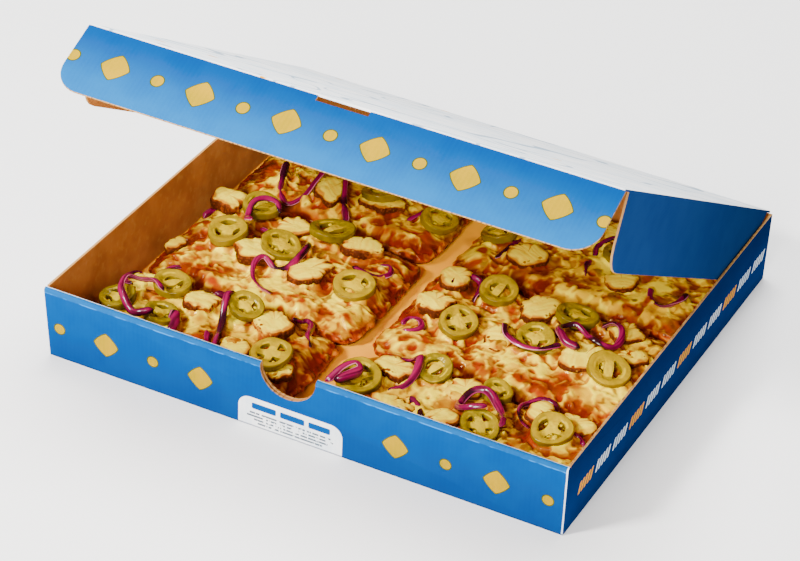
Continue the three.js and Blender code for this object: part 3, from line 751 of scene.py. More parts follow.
# %% Fields and noise
CELL = 0.5  # mm
MAP_X = np.arange(-194, 194 + CELL, CELL)
MAP_Y = np.arange(-178, 178 + CELL, CELL)
GRID_X, GRID_Y = np.meshgrid(MAP_X, MAP_Y)
WAVES_X = np.fft.rfftfreq(len(MAP_X), CELL)[None]
WAVES_Y = np.fft.fftfreq(len(MAP_Y), CELL)[:, None]
WAVES = WAVES_X ** 2 + WAVES_Y ** 2


def smooth(field, radius):
    """The field blurred over a radius in mm."""
    softened = np.fft.rfft2(field) * np.exp(-2 * (math.pi * radius) ** 2 * WAVES)
    return np.fft.irfft2(softened, s=field.shape)


def swells(seed, size):
    """A smooth random field over the tray, mean 0 and deviation 1, with swells of about size mm."""
    field = smooth(np.random.default_rng(seed).standard_normal(GRID_X.shape), size)
    return (field - field.mean()) / field.std()


def sample(field, x, y):
    """The field's values at points, between its cells."""
    i = np.clip((x - MAP_X[0]) / CELL, 0, len(MAP_X) - 1.001)
    j = np.clip((y - MAP_Y[0]) / CELL, 0, len(MAP_Y) - 1.001)
    i0, j0 = i.astype(int), j.astype(int)
    s, t = i - i0, j - j0
    near = field[j0, i0] * (1 - s) + field[j0, i0 + 1] * s
    far = field[j0 + 1, i0] * (1 - s) + field[j0 + 1, i0 + 1] * s
    return near * (1 - t) + far * t


def smoothstep(value, low, high):
    """0 at low, 1 at high, smooth between."""
    t = np.clip((value - low) / (high - low), 0, 1)
    return t * t * (3 - 2 * t)


def scatter(mixed):
    """Numbers from -1 to 1 that jump about as the mixed value changes."""
    wave = np.sin(mixed) * 43758.5453
    return 2 * (wave - np.floor(wave)) - 1


def plane_noise(x, y, seed):
    """Smooth noise from -1 to 1 over the plane, as the slices' outlines follow it."""
    def corner(i, j):
        return scatter(i * 127.1 + j * 311.7 + seed * 74.7)

    i, j = np.floor(x), np.floor(y)
    u, v = smoothstep(x - i, 0, 1), smoothstep(y - j, 0, 1)
    near = corner(i, j) * (1 - u) + corner(i + 1, j) * u
    far = corner(i, j + 1) * (1 - u) + corner(i + 1, j + 1) * u
    return near * (1 - v) + far * v


def space_noise(points, seed):
    """Smooth noise from -1 to 1 in space."""
    cell = np.floor(points)
    part = points - cell
    part = part * part * (3 - 2 * part)
    total = 0
    for step in itertools.product((0, 1), repeat=3):
        value = scatter((cell + step) @ (127.1, 311.7, 74.7) + seed * 19.19)
        total = total + value * np.prod(np.where(step, part, 1 - part), axis=1)
    return total


def stream(seed):
    """A repeatable stream of numbers from 0 to 1."""
    state = seed * 7919 + 17
    while True:
        state = state * 16807 % 2147483647
        yield state / 2147483647


print("maps of", GRID_X.shape, "cells")

# %% [markdown]
# ## Where the toppings lie
# The same layout as the solids: chicken, jalapeno rings and strips of onion, some sunk in the
# cheese and some loose on it. The loose ones have solids of their own, which give their height and
# lean.

# %% Layout
CHICKEN_SUNK = [  # middle, length, breadth, turn in degrees
    (-165, -90, 30, 23, 10), (-76, -126, 26, 22, -30), (-154, -119, 20, 17, 20),
    (-36, -137, 21, 17, 70),
    (-114, 28, 27, 25, 30), (-175, -34, 13, 20, 0), (-110, 139, 30, 25, 15), (-37, 139, 27, 28, 60),
    (78, -89, 26, 27, -20), (80, -126, 24, 20, 10), (44, -130, 32, 17, 0), (131, -86, 19, 25, 5),
    (157, -84, 27, 21, -10), (112, -106, 17, 23, 30), (15, 26, 23, 29, 15), (71, -20, 21, 35, 10),
    (143, 32, 25, 26, -15), (158, 6, 26, 22, 40), (44, 84, 29, 33, 25), (114, 90, 25, 27, -30),
    (32, 146, 29, 25, 0), (150, 140, 30, 27, 45), (88, 148, 27, 25, -20),
]
CHICKEN_LOOSE = 12
JALAPENO_SUNK = [  # middle, radius, lean in degrees and the direction it leans towards
    (-137, -121, 12, 8, 0), (-160, 144, 14, 4, 90), (-64, 146, 14, 6, 200), (58, 148, 14, 5, 30),
    (126, 148, 13, 7, 120),
]
JALAPENO_LOOSE = [  # radius
    13, 14, 12, 14, 14, 16, 15, 15, 15, 14, 15, 14, 16, 12, 11, 13, 14, 14, 15, 14, 14, 15, 13, 13,
]
ONION_SUNK = [  # breadth, then the points that its middle line passes
    (8, [(-129, -114), (-124, -124), (-122, -135)]),
    (5, [(-102, -118), (-97, -127), (-94, -136)]),
    (4.4, [(-179, 12), (-178, 21), (-171, 27), (-164, 22), (-162, 12)]),
    (4, [(-136, 17), (-127, 15), (-121, 8)]),
    (4.4, [(-57, 8), (-45, 5), (-34, 5), (-30, 13), (-34, 21), (-41, 19)]),
    (4.6, [(-45, 106), (-47, 95), (-52, 83)]),
    (4.2, [(-172, 150), (-176, 132), (-160, 124), (-143, 128)]),
    (5, [(49, -113), (60, -121), (67, -133)]),
    (4, [(158, -96), (164, -95), (170, -100)]),
    (5.4, [(16, 15), (16, 25), (24, 36), (30, 36), (34, 26), (36, 12)]),
    (5, [(5, -37), (6, -28), (13, -27), (19, -34), (15, -43), (9, -45)]),
    (4.6, [(31, 108), (29, 90), (24, 72)]),
    (4.8, [(84, 106), (85, 94), (89, 84)]),
    (4.4, [(84, 112), (80, 126), (88, 136), (103, 139)]),
]
ONION_LOOSE = [
    (4.4, [(-147, -76), (-165, -73), (-179, -79), (-181, -89), (-177, -99), (-169, -105)]),
    (4.8, [(-142, -108), (-158, -101), (-170, -106), (-169, -120), (-159, -131), (-147, -135),
           (-137, -130)]),
    (5.4, [(-118, -80), (-109, -76), (-102, -84), (-101, -95), (-96, -110), (-90, -127),
           (-87, -137)]),
    (4.4, [(-57, -80), (-54, -65), (-49, -67), (-41, -88), (-33, -99)]),
    (5.2, [(-125, 27), (-131, 33), (-140, 31), (-145, 21), (-142, 8), (-133, -1)]),
    (4.6, [(-94, 11), (-88, -2), (-89, -18), (-97, -28), (-109, -26), (-112, -34), (-107, -45),
           (-97, -53), (-87, -56)]),
    (4.6, [(-157, 97), (-152, 80), (-145, 65), (-134, 56), (-128, 67), (-126, 87), (-128, 107)]),
    (4.8, [(-113, 107), (-106, 90), (-97, 72), (-87, 57)]),
    (6, [(-4, -133), (2, -123), (10, -116), (15, -121), (9, -130), (3, -135)]),
    (4.8, [(13, -78), (26, -75), (39, -79), (44, -90), (43, -104), (34, -116)]),
    (5.4, [(106, -116), (93, -120), (83, -111), (85, -97), (94, -92), (106, -99), (116, -112),
           (121, -126)]),
    (3.6, [(141, -77), (133, -66), (123, -66), (116, -77), (118, -90), (125, -101), (132, -105)]),
    (5, [(69, -8), (76, -21), (89, -28), (104, -26), (114, -15)]),
    (4.8, [(128, -16), (116, -14), (108, -6), (105, 4), (111, 13), (121, 10), (131, 3), (141, 5),
           (145, 16), (141, 26), (133, 29), (127, 24)]),
    (5.4, [(136, 92), (141, 80), (151, 74), (159, 84), (160, 99)]),
]
SLICES = {  # the rectangle each one fills in x and y, its corner radius and its seed
    "slice_front_left": (-185, -21, -171, -72, 11, 3),
    "slice_front_right": (-4, 184.5, -171, -73, 13, 7),
    "slice_middle_left": (-184.5, -15.5, -69, 47, 15, 11),
    "slice_middle_right": (-5.5, 184.5, -70, 47, 14, 19),
    "slice_back_left": (-183, -17.5, 51, 171, 12, 23),
    "slice_back_right": (-3, 184.5, 51, 171, 12, 29),
}


def tree_of(node):
    """A search tree over a CAD node's faces."""
    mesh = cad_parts[node].data
    return BVHTree.FromPolygons([v.co for v in mesh.vertices], [p.vertices for p in mesh.polygons])


SLICE_TREES = [tree_of(name) for name in SLICES]
TRAY_FLOOR = 2.0  # about the floor's height in mm


def cad_top(x, y):
    """Height of the slices' solids at a point in mm, with what is sunk in them."""
    tops = [TRAY_FLOOR]
    for tree in SLICE_TREES:
        hit = tree.ray_cast(Vector((x * MM, y * MM, 0.1)), Vector((0, 0, -1)))[0]
        if hit:
            tops.append(hit.z / MM)
    return max(tops)


print(len(CHICKEN_SUNK), len(JALAPENO_SUNK), len(ONION_SUNK), "toppings sunk in the cheese")

# %% [markdown]
# ## Chicken
# Roast breast cut in slabs: pale and fibrous on top, browned along the edges. Rings of points run
# out from the middle to an outline cut by a few straight lines, and rows of them down the rough
# side. One end is torn, and noise that is stretched one way gives the fibres.

# %% Chicken finish
def chicken_colour(tree):
    place = place_of(tree)[0]
    toasted, fibre, gold = (attribute(tree, name) for name in ("toasted", "fibre", "gold"))
    fine = grain(tree, place, 420.0, 4.0)
    ground = mix(tree, between(tree, fibre, 0.10, 0.75), (0.92, 0.66, 0.006), (0.99, 0.83, 0.03))
    ground = mix(tree, between(tree, gold, 0.20, 0.9), ground, (0.56, 0.21, 0.001))
    ground = mix(tree, between(tree, toasted, 0.10, 0.40), ground, (0.22, 0.038, 0.001))
    browned = times(tree, between(tree, toasted, 0.38, 0.78), between(tree, fine, 0.25, 0.5))
    ground = mix(tree, browned, ground, (0.060, 0.009, 0.001))
    specks = times(tree, between(tree, fine, 0.62, 0.75), 0.35)
    ground = mix(tree, specks, ground, (0.60, 0.27, 0.001))
    return {"Base Color": ground, "Normal": bump(tree, fine, 0.25 * MM, 0.6),
            "Roughness": between(tree, fine, -0.6, 1.2)}


CHICKEN = finish("roast_chicken", chicken_colour, Specular_IOR_Level=0.15,
                 Specular_Tint=(1.0, 0.8, 0.5, 1.0))


def new_piece(name, points, faces, material):
    """A mesh from points in mm and faces."""
    mesh = bpy.data.meshes.new(name)
    mesh.from_pydata([Vector(p) * MM for p in points], [], faces)
    mesh.validate()
    mesh.materials.append(material)
    piece = bpy.data.objects.new(name, mesh)
    bpy.context.scene.collection.objects.link(piece)
    return piece


def cut_outline(angle, seed):
    """Reach, as a share, of a slab cut by a knife along four or five straight lines."""
    draw = stream(seed + 900)
    cuts = 4 + seed % 2
    reach = np.full(angle.shape, 1.06)
    for k in range(cuts):
        middle = 2 * math.pi * (k + 0.5 * next(draw)) / cuts + seed
        facing = np.maximum(np.cos(angle - middle), 0.2)
        line = (0.84 + 0.14 * next(draw)) / facing
        reach = -np.log(np.exp(-14 * reach) + np.exp(-14 * line)) / 14
    return reach


SLAB_AROUND, SLAB_RINGS, SLAB_ROWS = 120, 20, 9
WALL_DROP = np.arange(1, SLAB_ROWS + 1) / SLAB_ROWS  # 0 at the rim, 1 at the foot


def slab_top(spots, share, middle, plane, grain_turn, seed):
    """Heights of a slab's top, and its fibres; share is 0 at the middle and 1 at the edge."""
    flat = np.column_stack([spots, np.zeros(len(spots))]) + (*middle, seed)
    along = np.array([math.cos(grain_turn), math.sin(grain_turn)])
    across = np.array([-along[1], along[0]])
    wander = 0.8 * space_noise(flat / 8, 5)
    stretched = np.column_stack([spots @ along / 9, spots @ across / 1.3 + wander, share * 0])
    fibres = space_noise(stretched, seed)
    lumps, fine = space_noise(flat / 6, seed + 2), space_noise(flat / 1.7, seed + 3)
    height = plane[0] + spots @ plane[1:] - 0.7 * share ** 2 - 1.0 * share ** 8
    return height + 0.5 * lumps + 0.07 * fibres + 0.13 * fine, fibres


def slab_wall(outward, edge, rim_height, foot, seed):
    """Rows of points down a slab's rough side."""
    rows = []
    for t in WALL_DROP:
        z = rim_height * (1 - t) + foot * t
        plain = np.column_stack([outward * edge[:, None], z])
        rough = 0.5 * space_noise(plain / 2.4, seed + 4) + 0.3 * space_noise(plain / 1.1, seed + 5)
        reach = edge + rough * math.sin(math.pi * min(1, t + 0.15))
        reach = reach + 0.5 * math.sin(math.pi * t) - 0.6 * t * t
        rows.append(np.column_stack([outward * reach[:, None], z]))
    return rows


def slab_faces(count):
    """Quads from ring to ring, and a fan of triangles at the middle of the top and of the foot."""
    step = np.arange(SLAB_AROUND)
    after = (step + 1) % SLAB_AROUND
    faces = []
    for k in range(SLAB_RINGS + SLAB_ROWS - 1):
        ring = 1 + k * SLAB_AROUND
        below = ring + SLAB_AROUND
        faces += np.column_stack([ring + step, below + step, below + after, ring + after]).tolist()
    last = 1 + (SLAB_RINGS + SLAB_ROWS - 1) * SLAB_AROUND
    pairs = list(zip(step.tolist(), after.tolist()))
    faces += [(0, 1 + a, 1 + b) for a, b in pairs]
    faces += [(count - 1, last + b, last + a) for a, b in pairs]
    return faces


def brown_slab(mesh, points, here, inward, drop, to_pan_and_shade, frayed, seed):
    """Browning where the slab met the pan, along its rim and in its torn end; the pan side faces the
    camera, so its browning is partly painted shade.
    """
    patchy = space_noise(here / 5.0, seed + 6)
    speckle = space_noise(points / 1.5, seed + 7)
    pan = smoothstep(to_pan_and_shade + 0.4 * patchy, -0.1, 0.6)
    wall = smoothstep(drop, 0.0, 0.2)
    rim = 1 - smoothstep(inward + 0.8 * patchy + 0.4 * speckle, 0.2, 1.8)
    toasted = np.maximum(wall * (0.3 + 0.7 * pan), rim * (0.15 + 0.6 * pan))
    toasted += 0.25 * speckle * np.maximum(wall, rim)
    scorched = smoothstep(patchy + 0.5 * speckle, 0.55, 1.0) * (1 - smoothstep(inward, 2, 7))
    toasted += 0.5 * scorched * (1 - wall) + 0.5 * frayed * (1 - smoothstep(inward, 1, 5))
    near_rim = 1 - smoothstep(inward + 2.5 * patchy, 0.5, 5.5)
    gold = np.maximum(wall, near_rim * (0.55 + 0.45 * pan))
    give_attribute(mesh, "toasted", np.clip(toasted, 0, 1))
    give_attribute(mesh, "gold", np.clip(gold + frayed, 0, 1))


def slab(name, middle, edge, plane, foot, seed):
    """A slab from its edge's reach in each direction, its top's height and slopes, and its foot."""
    draw = stream(seed + 40)
    angle = np.linspace(0, 2 * math.pi, SLAB_AROUND, endpoint=False)
    # The pan side lies towards the camera, give or take 75 degrees, so its browning is partly painted
    # shade on the side that is seen.
    pan_and_shade_side = math.radians(-66 + 150 * (next(draw) - 0.5))
    torn_end = pan_and_shade_side + 1.9 + 2.4 * next(draw)
    grain_turn = 6 * next(draw)
    outward = np.column_stack([np.cos(angle), np.sin(angle)])
    edge = edge * cut_outline(angle, seed)
    fray = smoothstep(np.cos(angle - torn_end), 0.2, 0.8)
    rim = np.column_stack([outward * edge[:, None] / 2.7, np.zeros(SLAB_AROUND)])
    groove = space_noise(rim, seed + 1)
    edge = edge + fray * (0.75 * groove - 0.2) + 0.15 * groove
    torn = np.maximum(-groove * fray, 0)

    rings = 1 - (1 - np.arange(1, SLAB_RINGS + 1) / SLAB_RINGS) ** 1.5
    spots = np.concatenate([[[0.0, 0.0]], *[outward * (part * edge)[:, None] for part in rings]])
    share = np.concatenate([[0.0], np.repeat(rings, SLAB_AROUND)])
    height, fibres = slab_top(spots, share, middle, plane, grain_turn, seed)
    height[1:] -= 0.8 * np.tile(torn, SLAB_RINGS) * smoothstep(share[1:], 0.72, 1)
    wall = slab_wall(outward, edge, height[-SLAB_AROUND:], foot, seed)
    points = np.concatenate([np.column_stack([spots, height]), *wall, [[0, 0, foot]]])
    piece = new_piece(name, points + (*middle, 0), slab_faces(len(points)), CHICKEN)

    levels = SLAB_RINGS + SLAB_ROWS
    to_pan_and_shade = np.cos(np.concatenate([[0.0], np.tile(angle, levels), [0.0]]) - pan_and_shade_side)
    to_rim = [(1 - part) * edge for part in rings]
    inward = np.concatenate([[10.0], *to_rim, np.zeros(SLAB_ROWS * SLAB_AROUND + 1)])
    drop = np.concatenate([np.zeros(len(spots)), np.repeat(WALL_DROP, SLAB_AROUND), [1]])
    frayed = np.concatenate([[0], np.tile(torn, levels), [0]])
    here = points + (*middle, seed)
    brown_slab(piece.data, points, here, inward, drop, to_pan_and_shade, frayed, seed)
    fibre = np.full(len(points), 0.5)
    fibre[:len(spots)] += 0.5 * fibres
    give_attribute(piece.data, "fibre", fibre)
    smooth_all(piece.data)
    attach(piece, "base")
    return piece


# %% Chicken pieces
directions = np.linspace(0, 2 * math.pi, SLAB_AROUND, endpoint=False)


def outline_of(corners, middle):
    """How far a solid's outer corners reach in each direction round its middle."""
    away = corners[:, :2] - middle
    turn, reach = np.arctan2(away[:, 1], away[:, 0]), np.hypot(away[:, 0], away[:, 1])
    nearby = [np.abs(np.angle(np.exp(1j * (turn - a)))) < 0.4 for a in turn]
    outer = reach > 0.9 * np.array([reach[near].max() for near in nearby])
    order = np.argsort(turn[outer])
    return np.interp(directions, turn[outer][order], reach[outer][order], period=2 * math.pi)


toppings = []
SUNK_DEPTH = 6.5  # mm
for k in range(CHICKEN_LOOSE):
    node = f"chicken_{k + 1:02d}"
    corners = solid_corners(node)
    low, high = corners.min(0), corners.max(0)
    middle = (low[:2] + high[:2]) / 2
    edge = outline_of(corners, middle)
    upper = corners[corners[:, 2] > low[2] + 0.65 * (high[2] - low[2])]
    sheet = np.column_stack([np.ones(len(upper)), upper[:, :2] - middle])
    plane = np.linalg.lstsq(sheet, upper[:, 2], rcond=None)[0]
    plane[0] = min(plane[0] + 0.6, high[2])
    piece = slab(f"roast_chicken_{k + 1:02d}", middle, edge, plane, low[2], k + 40)
    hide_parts(node)
    toppings.append(piece)

for k, (x, y, length, breadth, turn) in enumerate(CHICKEN_SUNK):
    towards = directions - math.radians(turn)
    edge = 1 / np.hypot(np.cos(towards) / (0.5 * length), np.sin(towards) / (0.5 * breadth))
    tilt = 0.05 * math.sin(k * 2.3), 0.05 * math.cos(k * 1.7)
    plane = np.array([cad_top(x, y) + 0.4, *tilt])
    piece = slab(f"sunk_chicken_{k + 1:02d}", (x, y), edge, plane, plane[0] - SUNK_DEPTH, k + 80)
    toppings.append(piece)
print("chicken pieces:", len(toppings), "faces:", sum(len(p.data.polygons) for p in toppings))

# %% [markdown]
# ## Jalapeno rings
# A slice across the pepper: a wall of flesh with a thin skin outside, ribs of pith between two to
# four seed chambers. A flat curve with holes gives the shape with round edges. It is remeshed, made
# a little uneven, given its seeds, and tipped onto the cheese.

# %% Jalapeno finish
def jalapeno_colour(tree):
    place = place_of(tree)[0]
    labels = "skin", "pith", "chamber_shade", "ripe"
    skin, pith, chamber_shade, ripe = (attribute(tree, label) for label in labels)
    fine = grain(tree, place, 300.0, 3.0)
    cloud = grain(tree, place, 90.0, 3.0)
    mottle = between(tree, cloud, 0.3, 0.7)
    green = mix(tree, mottle, (0.148, 0.110, 0.001), (0.272, 0.190, 0.001))
    yellow = mix(tree, mottle, (0.285, 0.192, 0.001), (0.44, 0.290, 0.001))
    flesh = mix(tree, ripe, green, yellow)
    flecks = times(tree, between(tree, fine, 0.5, 0.7), 0.4)
    flesh = mix(tree, flecks, flesh, (0.47, 0.325, 0.001))
    ground = mix(tree, between(tree, pith, 0.3, 0.9), flesh, (0.60, 0.43, 0.001))
    # painted shade on the inner walls of the seed chambers
    ground = mix(tree, times(tree, chamber_shade, 0.65), ground, (0.13, 0.080, 0.001))
    outer = mix(tree, ripe, (0.074, 0.052, 0.001), (0.180, 0.108, 0.001))
    outer = mix(tree, between(tree, cloud, 0.35, 0.7), outer, (0.215, 0.138, 0.001))
    ground = mix(tree, between(tree, skin, 0.35, 0.8), ground, outer)
    return {"Base Color": ground, "Normal": bump(tree, fine, 0.3 * MM, 0.5)}


JALAPENO = finish("jalapeno", jalapeno_colour, Roughness=0.22, Specular_IOR_Level=0.22,
                  Specular_Tint=(1.0, 0.9, 0.5, 1.0))
RING_THICKNESS = 5.6
RING_EDGE = 0.8  # radius of its round edges
RING_VOXEL = 0.55
CHAMBERS = 3, 2, 3, 4
GOLDEN_TURN = 137.5  # degrees from one ring's spin to the next


def flat_loop(curve, points):
    """Adds a closed outline, in mm, to a flat curve."""
    spline = curve.splines.new("POLY")
    spline.points.add(len(points) - 1)
    flat = [value for x, y in points for value in (x * MM, y * MM, 0, 1)]
    spline.points.foreach_set("co", flat)
    spline.use_cyclic_u = True


def round_off(points, rounds=2):
    """Rounds a closed outline by cutting its corners."""
    points = np.array(points)
    for _ in range(rounds):
        after = np.roll(points, -1, axis=0)
        cut = [0.75 * points + 0.25 * after, 0.25 * points + 0.75 * after]
        points = np.stack(cut, axis=1).reshape(-1, 2)
    return points


def chamber_outline(radius, turn, half_turn, draw):
    """A seed chamber between two ribs, narrow at the middle of the ring."""
    rib = 0.09 + 0.10 * next(draw)
    corners = [(0.12 + 0.14 * next(draw), 0.1)]
    for side in (1, -1):
        reaches = 0.3, 0.58 + 0.06 * next(draw), 0.77
        spread = [(r, side * max(half_turn - rib / r, 0.3)) for r in reaches]
        corners += spread if side == 1 else [(0.79, 0.0)] + spread[::-1]
    loop = [(r * radius * math.cos(turn + a), r * radius * math.sin(turn + a)) for r, a in corners]
    middle = np.mean(loop, axis=0)
    grown = 0.78 + 0.24 * next(draw)
    return round_off(middle + (np.array(loop) - middle) * grown)


def ring_piece(name, radius, index):
    """A ring lying flat about its middle, in its own frame."""
    chambers = CHAMBERS[index % len(CHAMBERS)]
    curve = bpy.data.curves.new(name, "CURVE")
    curve.dimensions = "2D"
    curve.fill_mode = "BOTH"
    curve.extrude = (RING_THICKNESS / 2 - RING_EDGE) * MM
    curve.bevel_depth = RING_EDGE * MM
    curve.bevel_resolution = 3
    angles = np.linspace(0, 2 * math.pi, 48, endpoint=False)
    reach = (radius - RING_EDGE) * (1 + 0.03 * np.sin(chambers * angles + index))
    flat_loop(curve, np.stack([reach * np.cos(angles), reach * np.sin(angles)], axis=1))
    draw = stream(index + 700)
    for c in range(chambers):
        turn = 2 * math.pi * (c + 0.35 * (next(draw) - 0.5)) / chambers
        flat_loop(curve, chamber_outline(radius, turn, math.pi / chambers, draw))
    piece = bpy.data.objects.new(name, curve)
    bpy.context.scene.collection.objects.link(piece)
    make_active(piece)
    bpy.ops.object.convert(target="MESH")
    piece = bpy.context.object
    apply_modifier(piece, "REMESH", mode="VOXEL", voxel_size=RING_VOXEL * MM)
    apply_modifier(piece, "SMOOTH", factor=0.5, iterations=2)
    return piece, chambers


def dress_ring(piece, radius, index, chambers):
    """Relief and colours of a ring that still lies in its own frame."""
    mesh = piece.data
    points = positions(mesh) / MM
    away = np.hypot(points[:, 0], points[:, 1]) / radius
    angle = np.arctan2(points[:, 1], points[:, 0])
    skin = smoothstep(away, 0.9, 0.97)
    face = smoothstep(np.abs(points[:, 2]), 1.6, 2.6)
    inside = (1 - face) * (1 - smoothstep(away, 0.7, 0.8))
    pith = 1 - smoothstep(away + 0.08 * space_noise(points / 2.5 + index, 13), 0.30, 0.62)
    near_chamber = smoothstep(np.cos(chambers * angle), 0.0, 0.8) * smoothstep(away, 0.55, 0.68)
    near_chamber *= 1 - smoothstep(away, 0.7, 0.8)
    lumps = space_noise(points / 4 + index, 11)
    fine = space_noise(points / 1.3 + index, 12)
    sunken = 1.5 * (1 - smoothstep(away, 0.45, 0.82)) - 0.6 * (1 - smoothstep(away, 0.1, 0.4))
    relief = 0.35 * lumps + 0.22 * fine * (1 - smoothstep(away, 0.6, 0.8)) - sunken
    points[:, 2] += np.sign(points[:, 2]) * face * relief
    stretch = 0.05 * math.sin(index * 2.4)
    points[:, 0] *= 1 + stretch
    points[:, 1] *= 1 - stretch
    points[:, :2] *= (1 + 0.02 * lumps * skin)[:, None]
    points[:, 2] += 0.55 * np.sin(angle * 2 + index) * smoothstep(away, 0.3, 1.0)
    move_points(mesh, points * MM)
    give_attribute(mesh, "skin", skin * (1 - 0.3 * face))
    give_attribute(mesh, "pith", np.clip(pith + 0.8 * near_chamber, 0, 1))
    # painted shade for the inner walls of the seed chambers
    give_attribute(mesh, "chamber_shade", smoothstep(inside, 0.3, 0.9))
    give_attribute(mesh, "ripe", np.full(len(points), index * 0.618 % 1))
    smooth_all(mesh)


SEED_LOOK = {"skin": 0, "pith": 1, "chamber_shade": 0, "ripe": 1}
SEED_SHAPE = Matrix.Diagonal((1.15, 0.95, 0.45, 1))


def add_seeds(piece, radius, index, chambers):
    """A few flat seeds caught in the chambers, joined to the ring."""
    draw = stream(index + 300)
    made = []
    for c in range(chambers):
        full = next(draw) < 0.3
        for _ in range(5 if full else 1):
            turn = 2 * math.pi * c / chambers + (next(draw) - 0.5) * (1.3 if full else 0.8)
            reach = (0.26 + 0.36 * next(draw)) * radius
            size = (1.6 if full else 1.2) * MM
            bpy.ops.mesh.primitive_uv_sphere_add(segments=12, ring_count=8, radius=size)
            seed = bpy.context.object
            lift = 1.2 * next(draw) - 0.8
            spot = Vector((reach * math.cos(turn), reach * math.sin(turn), lift)) * MM
            spin = Matrix.Rotation(6 * next(draw), 4, "Z")
            lean = Matrix.Rotation(1.2 * next(draw), 4, "X")
            seed.data.transform(Matrix.Translation(spot) @ spin @ lean @ SEED_SHAPE)
            for label, value in SEED_LOOK.items():
                give_attribute(seed.data, label, np.full(len(seed.data.vertices), value))
            smooth_all(seed.data)
            made.append(seed)
    make_active(piece)
    for seed in made:
        seed.select_set(True)
    bpy.ops.object.join()


def ring_in_place(name, radius, index, middle, facing):
    """A finished ring, tipped to face a direction about its middle."""
    piece, chambers = ring_piece(name, radius, index)
    dress_ring(piece, radius, index, chambers)
    add_seeds(piece, radius, index, chambers)
    piece.data.materials.clear()
    piece.data.materials.append(JALAPENO)
    tip = Vector((0, 0, 1)).rotation_difference(facing)
    spin = Quaternion((0, 0, 1), math.radians(GOLDEN_TURN * index))
    piece.data.transform(Matrix.Translation(middle * MM) @ (tip @ spin).to_matrix().to_4x4())
    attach(piece, "base")
    return piece


# %% Jalapeno rings
rings = []
for k, radius in enumerate(JALAPENO_LOOSE):
    node = f"jalapeno_{k + 1:02d}"
    corners = solid_corners(node)
    outer = corners[np.argsort(-np.linalg.norm(corners - corners.mean(0), axis=1))[:24]]
    middle = outer.mean(0)
    facing = Vector(np.linalg.svd(outer - middle)[2][2])
    facing = facing if facing.z > 0 else -facing
    piece = ring_in_place(f"jalapeno_ring_{k + 1:02d}", radius, k, Vector(middle), facing)
    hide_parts(node)
    rings.append(piece)

for k, (x, y, radius, lean, towards) in enumerate(JALAPENO_SUNK):
    turns = np.linspace(0, 2 * math.pi, 12, endpoint=False)
    reach = 0.85 * radius
    top = max(cad_top(x + reach * math.cos(a), y + reach * math.sin(a)) for a in turns)
    tilt, way = math.radians(lean), math.radians(towards)
    facing = Vector((math.tan(tilt) * math.cos(way), math.tan(tilt) * math.sin(way), 1)).normalized()
    middle = Vector((x, y, top - radius * math.sin(tilt) - RING_THICKNESS / 2))
    rings.append(ring_in_place(f"sunk_ring_{k + 1:02d}", radius, k, middle, facing))
toppings += rings
print("rings:", len(rings), "faces:", sum(len(p.data.polygons) for p in rings))

# %% [markdown]
# ## Red onion
# Strips of one onion layer, cooked soft: dark and glossy outside, pink to white inside. Each is a
# shallow crescent swept along its line over what lies under it, turning slowly and thinning to its
# ends.

# %% Onion finish
def onion_colour(tree):
    place = place_of(tree)[0]
    inner, dark = attribute(tree, "inner"), attribute(tree, "dark")
    streaks = attribute(tree, "streak")
    fine = grain(tree, place, 500.0, 2.0)
    outer = mix(tree, between(tree, streaks, 0.2, 0.8), (0.085, 0.001, 0.022), (0.25, 0.002, 0.062))
    # dark purple at the ends and in blotches, and painted shade along both sides of each strip
    outer = mix(tree, between(tree, dark, 0.25, 0.8), outer, (0.020, 0.001, 0.007))
    pale = mix(tree, between(tree, streaks, 0.3, 0.8), (0.34, 0.02, 0.11), (0.72, 0.24, 0.32))
    ground = mix(tree, between(tree, inner, 0.5, 0.95), outer, pale)
    return {"Base Color": ground, "Normal": bump(tree, fine, 0.12 * MM, 0.4)}


ONION = finish("red_onion", onion_colour, Roughness=0.2, Specular_IOR_Level=0.4)


ROUTE_STEP = 0.8  # mm between the points along a strip
STRIP_SIDES = 20


def smooth_route(points):
    """Points on a smooth curve through the given ones, and how far along it each one is."""
    points = np.array(points, float)
    before, beyond = 2 * points[0] - points[1], 2 * points[-1] - points[-2]
    held = np.concatenate([[before], points, [beyond]])
    fine = []
    for k in range(1, len(held) - 2):
        p0, p1, p2, p3 = held[k - 1:k + 3]
        t1 = np.linalg.norm(p1 - p0) ** 0.5
        t2 = t1 + np.linalg.norm(p2 - p1) ** 0.5
        t3 = t2 + np.linalg.norm(p3 - p2) ** 0.5
        for t in np.linspace(t1, t2, 16, endpoint=False):
            a1 = (t1 - t) / t1 * p0 + t / t1 * p1
            a2 = (t2 - t) / (t2 - t1) * p1 + (t - t1) / (t2 - t1) * p2
            a3 = (t3 - t) / (t3 - t2) * p2 + (t - t2) / (t3 - t2) * p3
            b1 = (t2 - t) / t2 * a1 + t / t2 * a2
            b2 = (t3 - t) / (t3 - t1) * a2 + (t - t1) / (t3 - t1) * a3
            fine.append((t2 - t) / (t2 - t1) * b1 + (t - t1) / (t2 - t1) * b2)
    fine.append(held[-2])
    fine = np.array(fine)
    run = np.concatenate([[0], np.cumsum(np.linalg.norm(np.diff(fine, axis=0), axis=1))])
    spots = np.linspace(0, run[-1], max(8, int(run[-1] / ROUTE_STEP)))
    return np.stack([np.interp(spots, run, fine[:, i]) for i in range(2)], axis=1), spots


def settle(values, spots, reach):
    """A running mean of heights along a strip."""
    weight = np.exp(-0.5 * ((spots[:, None] - spots[None]) / reach) ** 2)
    return (weight @ values) / weight.sum(1)


def strip_frame(path):
    """The level direction across a line in space and the upright one, at each of its points."""
    ahead = np.gradient(path, axis=0)
    ahead /= np.linalg.norm(ahead, axis=1)[:, None]
    level = np.cross(ahead, (0, 0, 1))
    level /= np.linalg.norm(level, axis=1)[:, None]
    return level, np.cross(level, ahead)


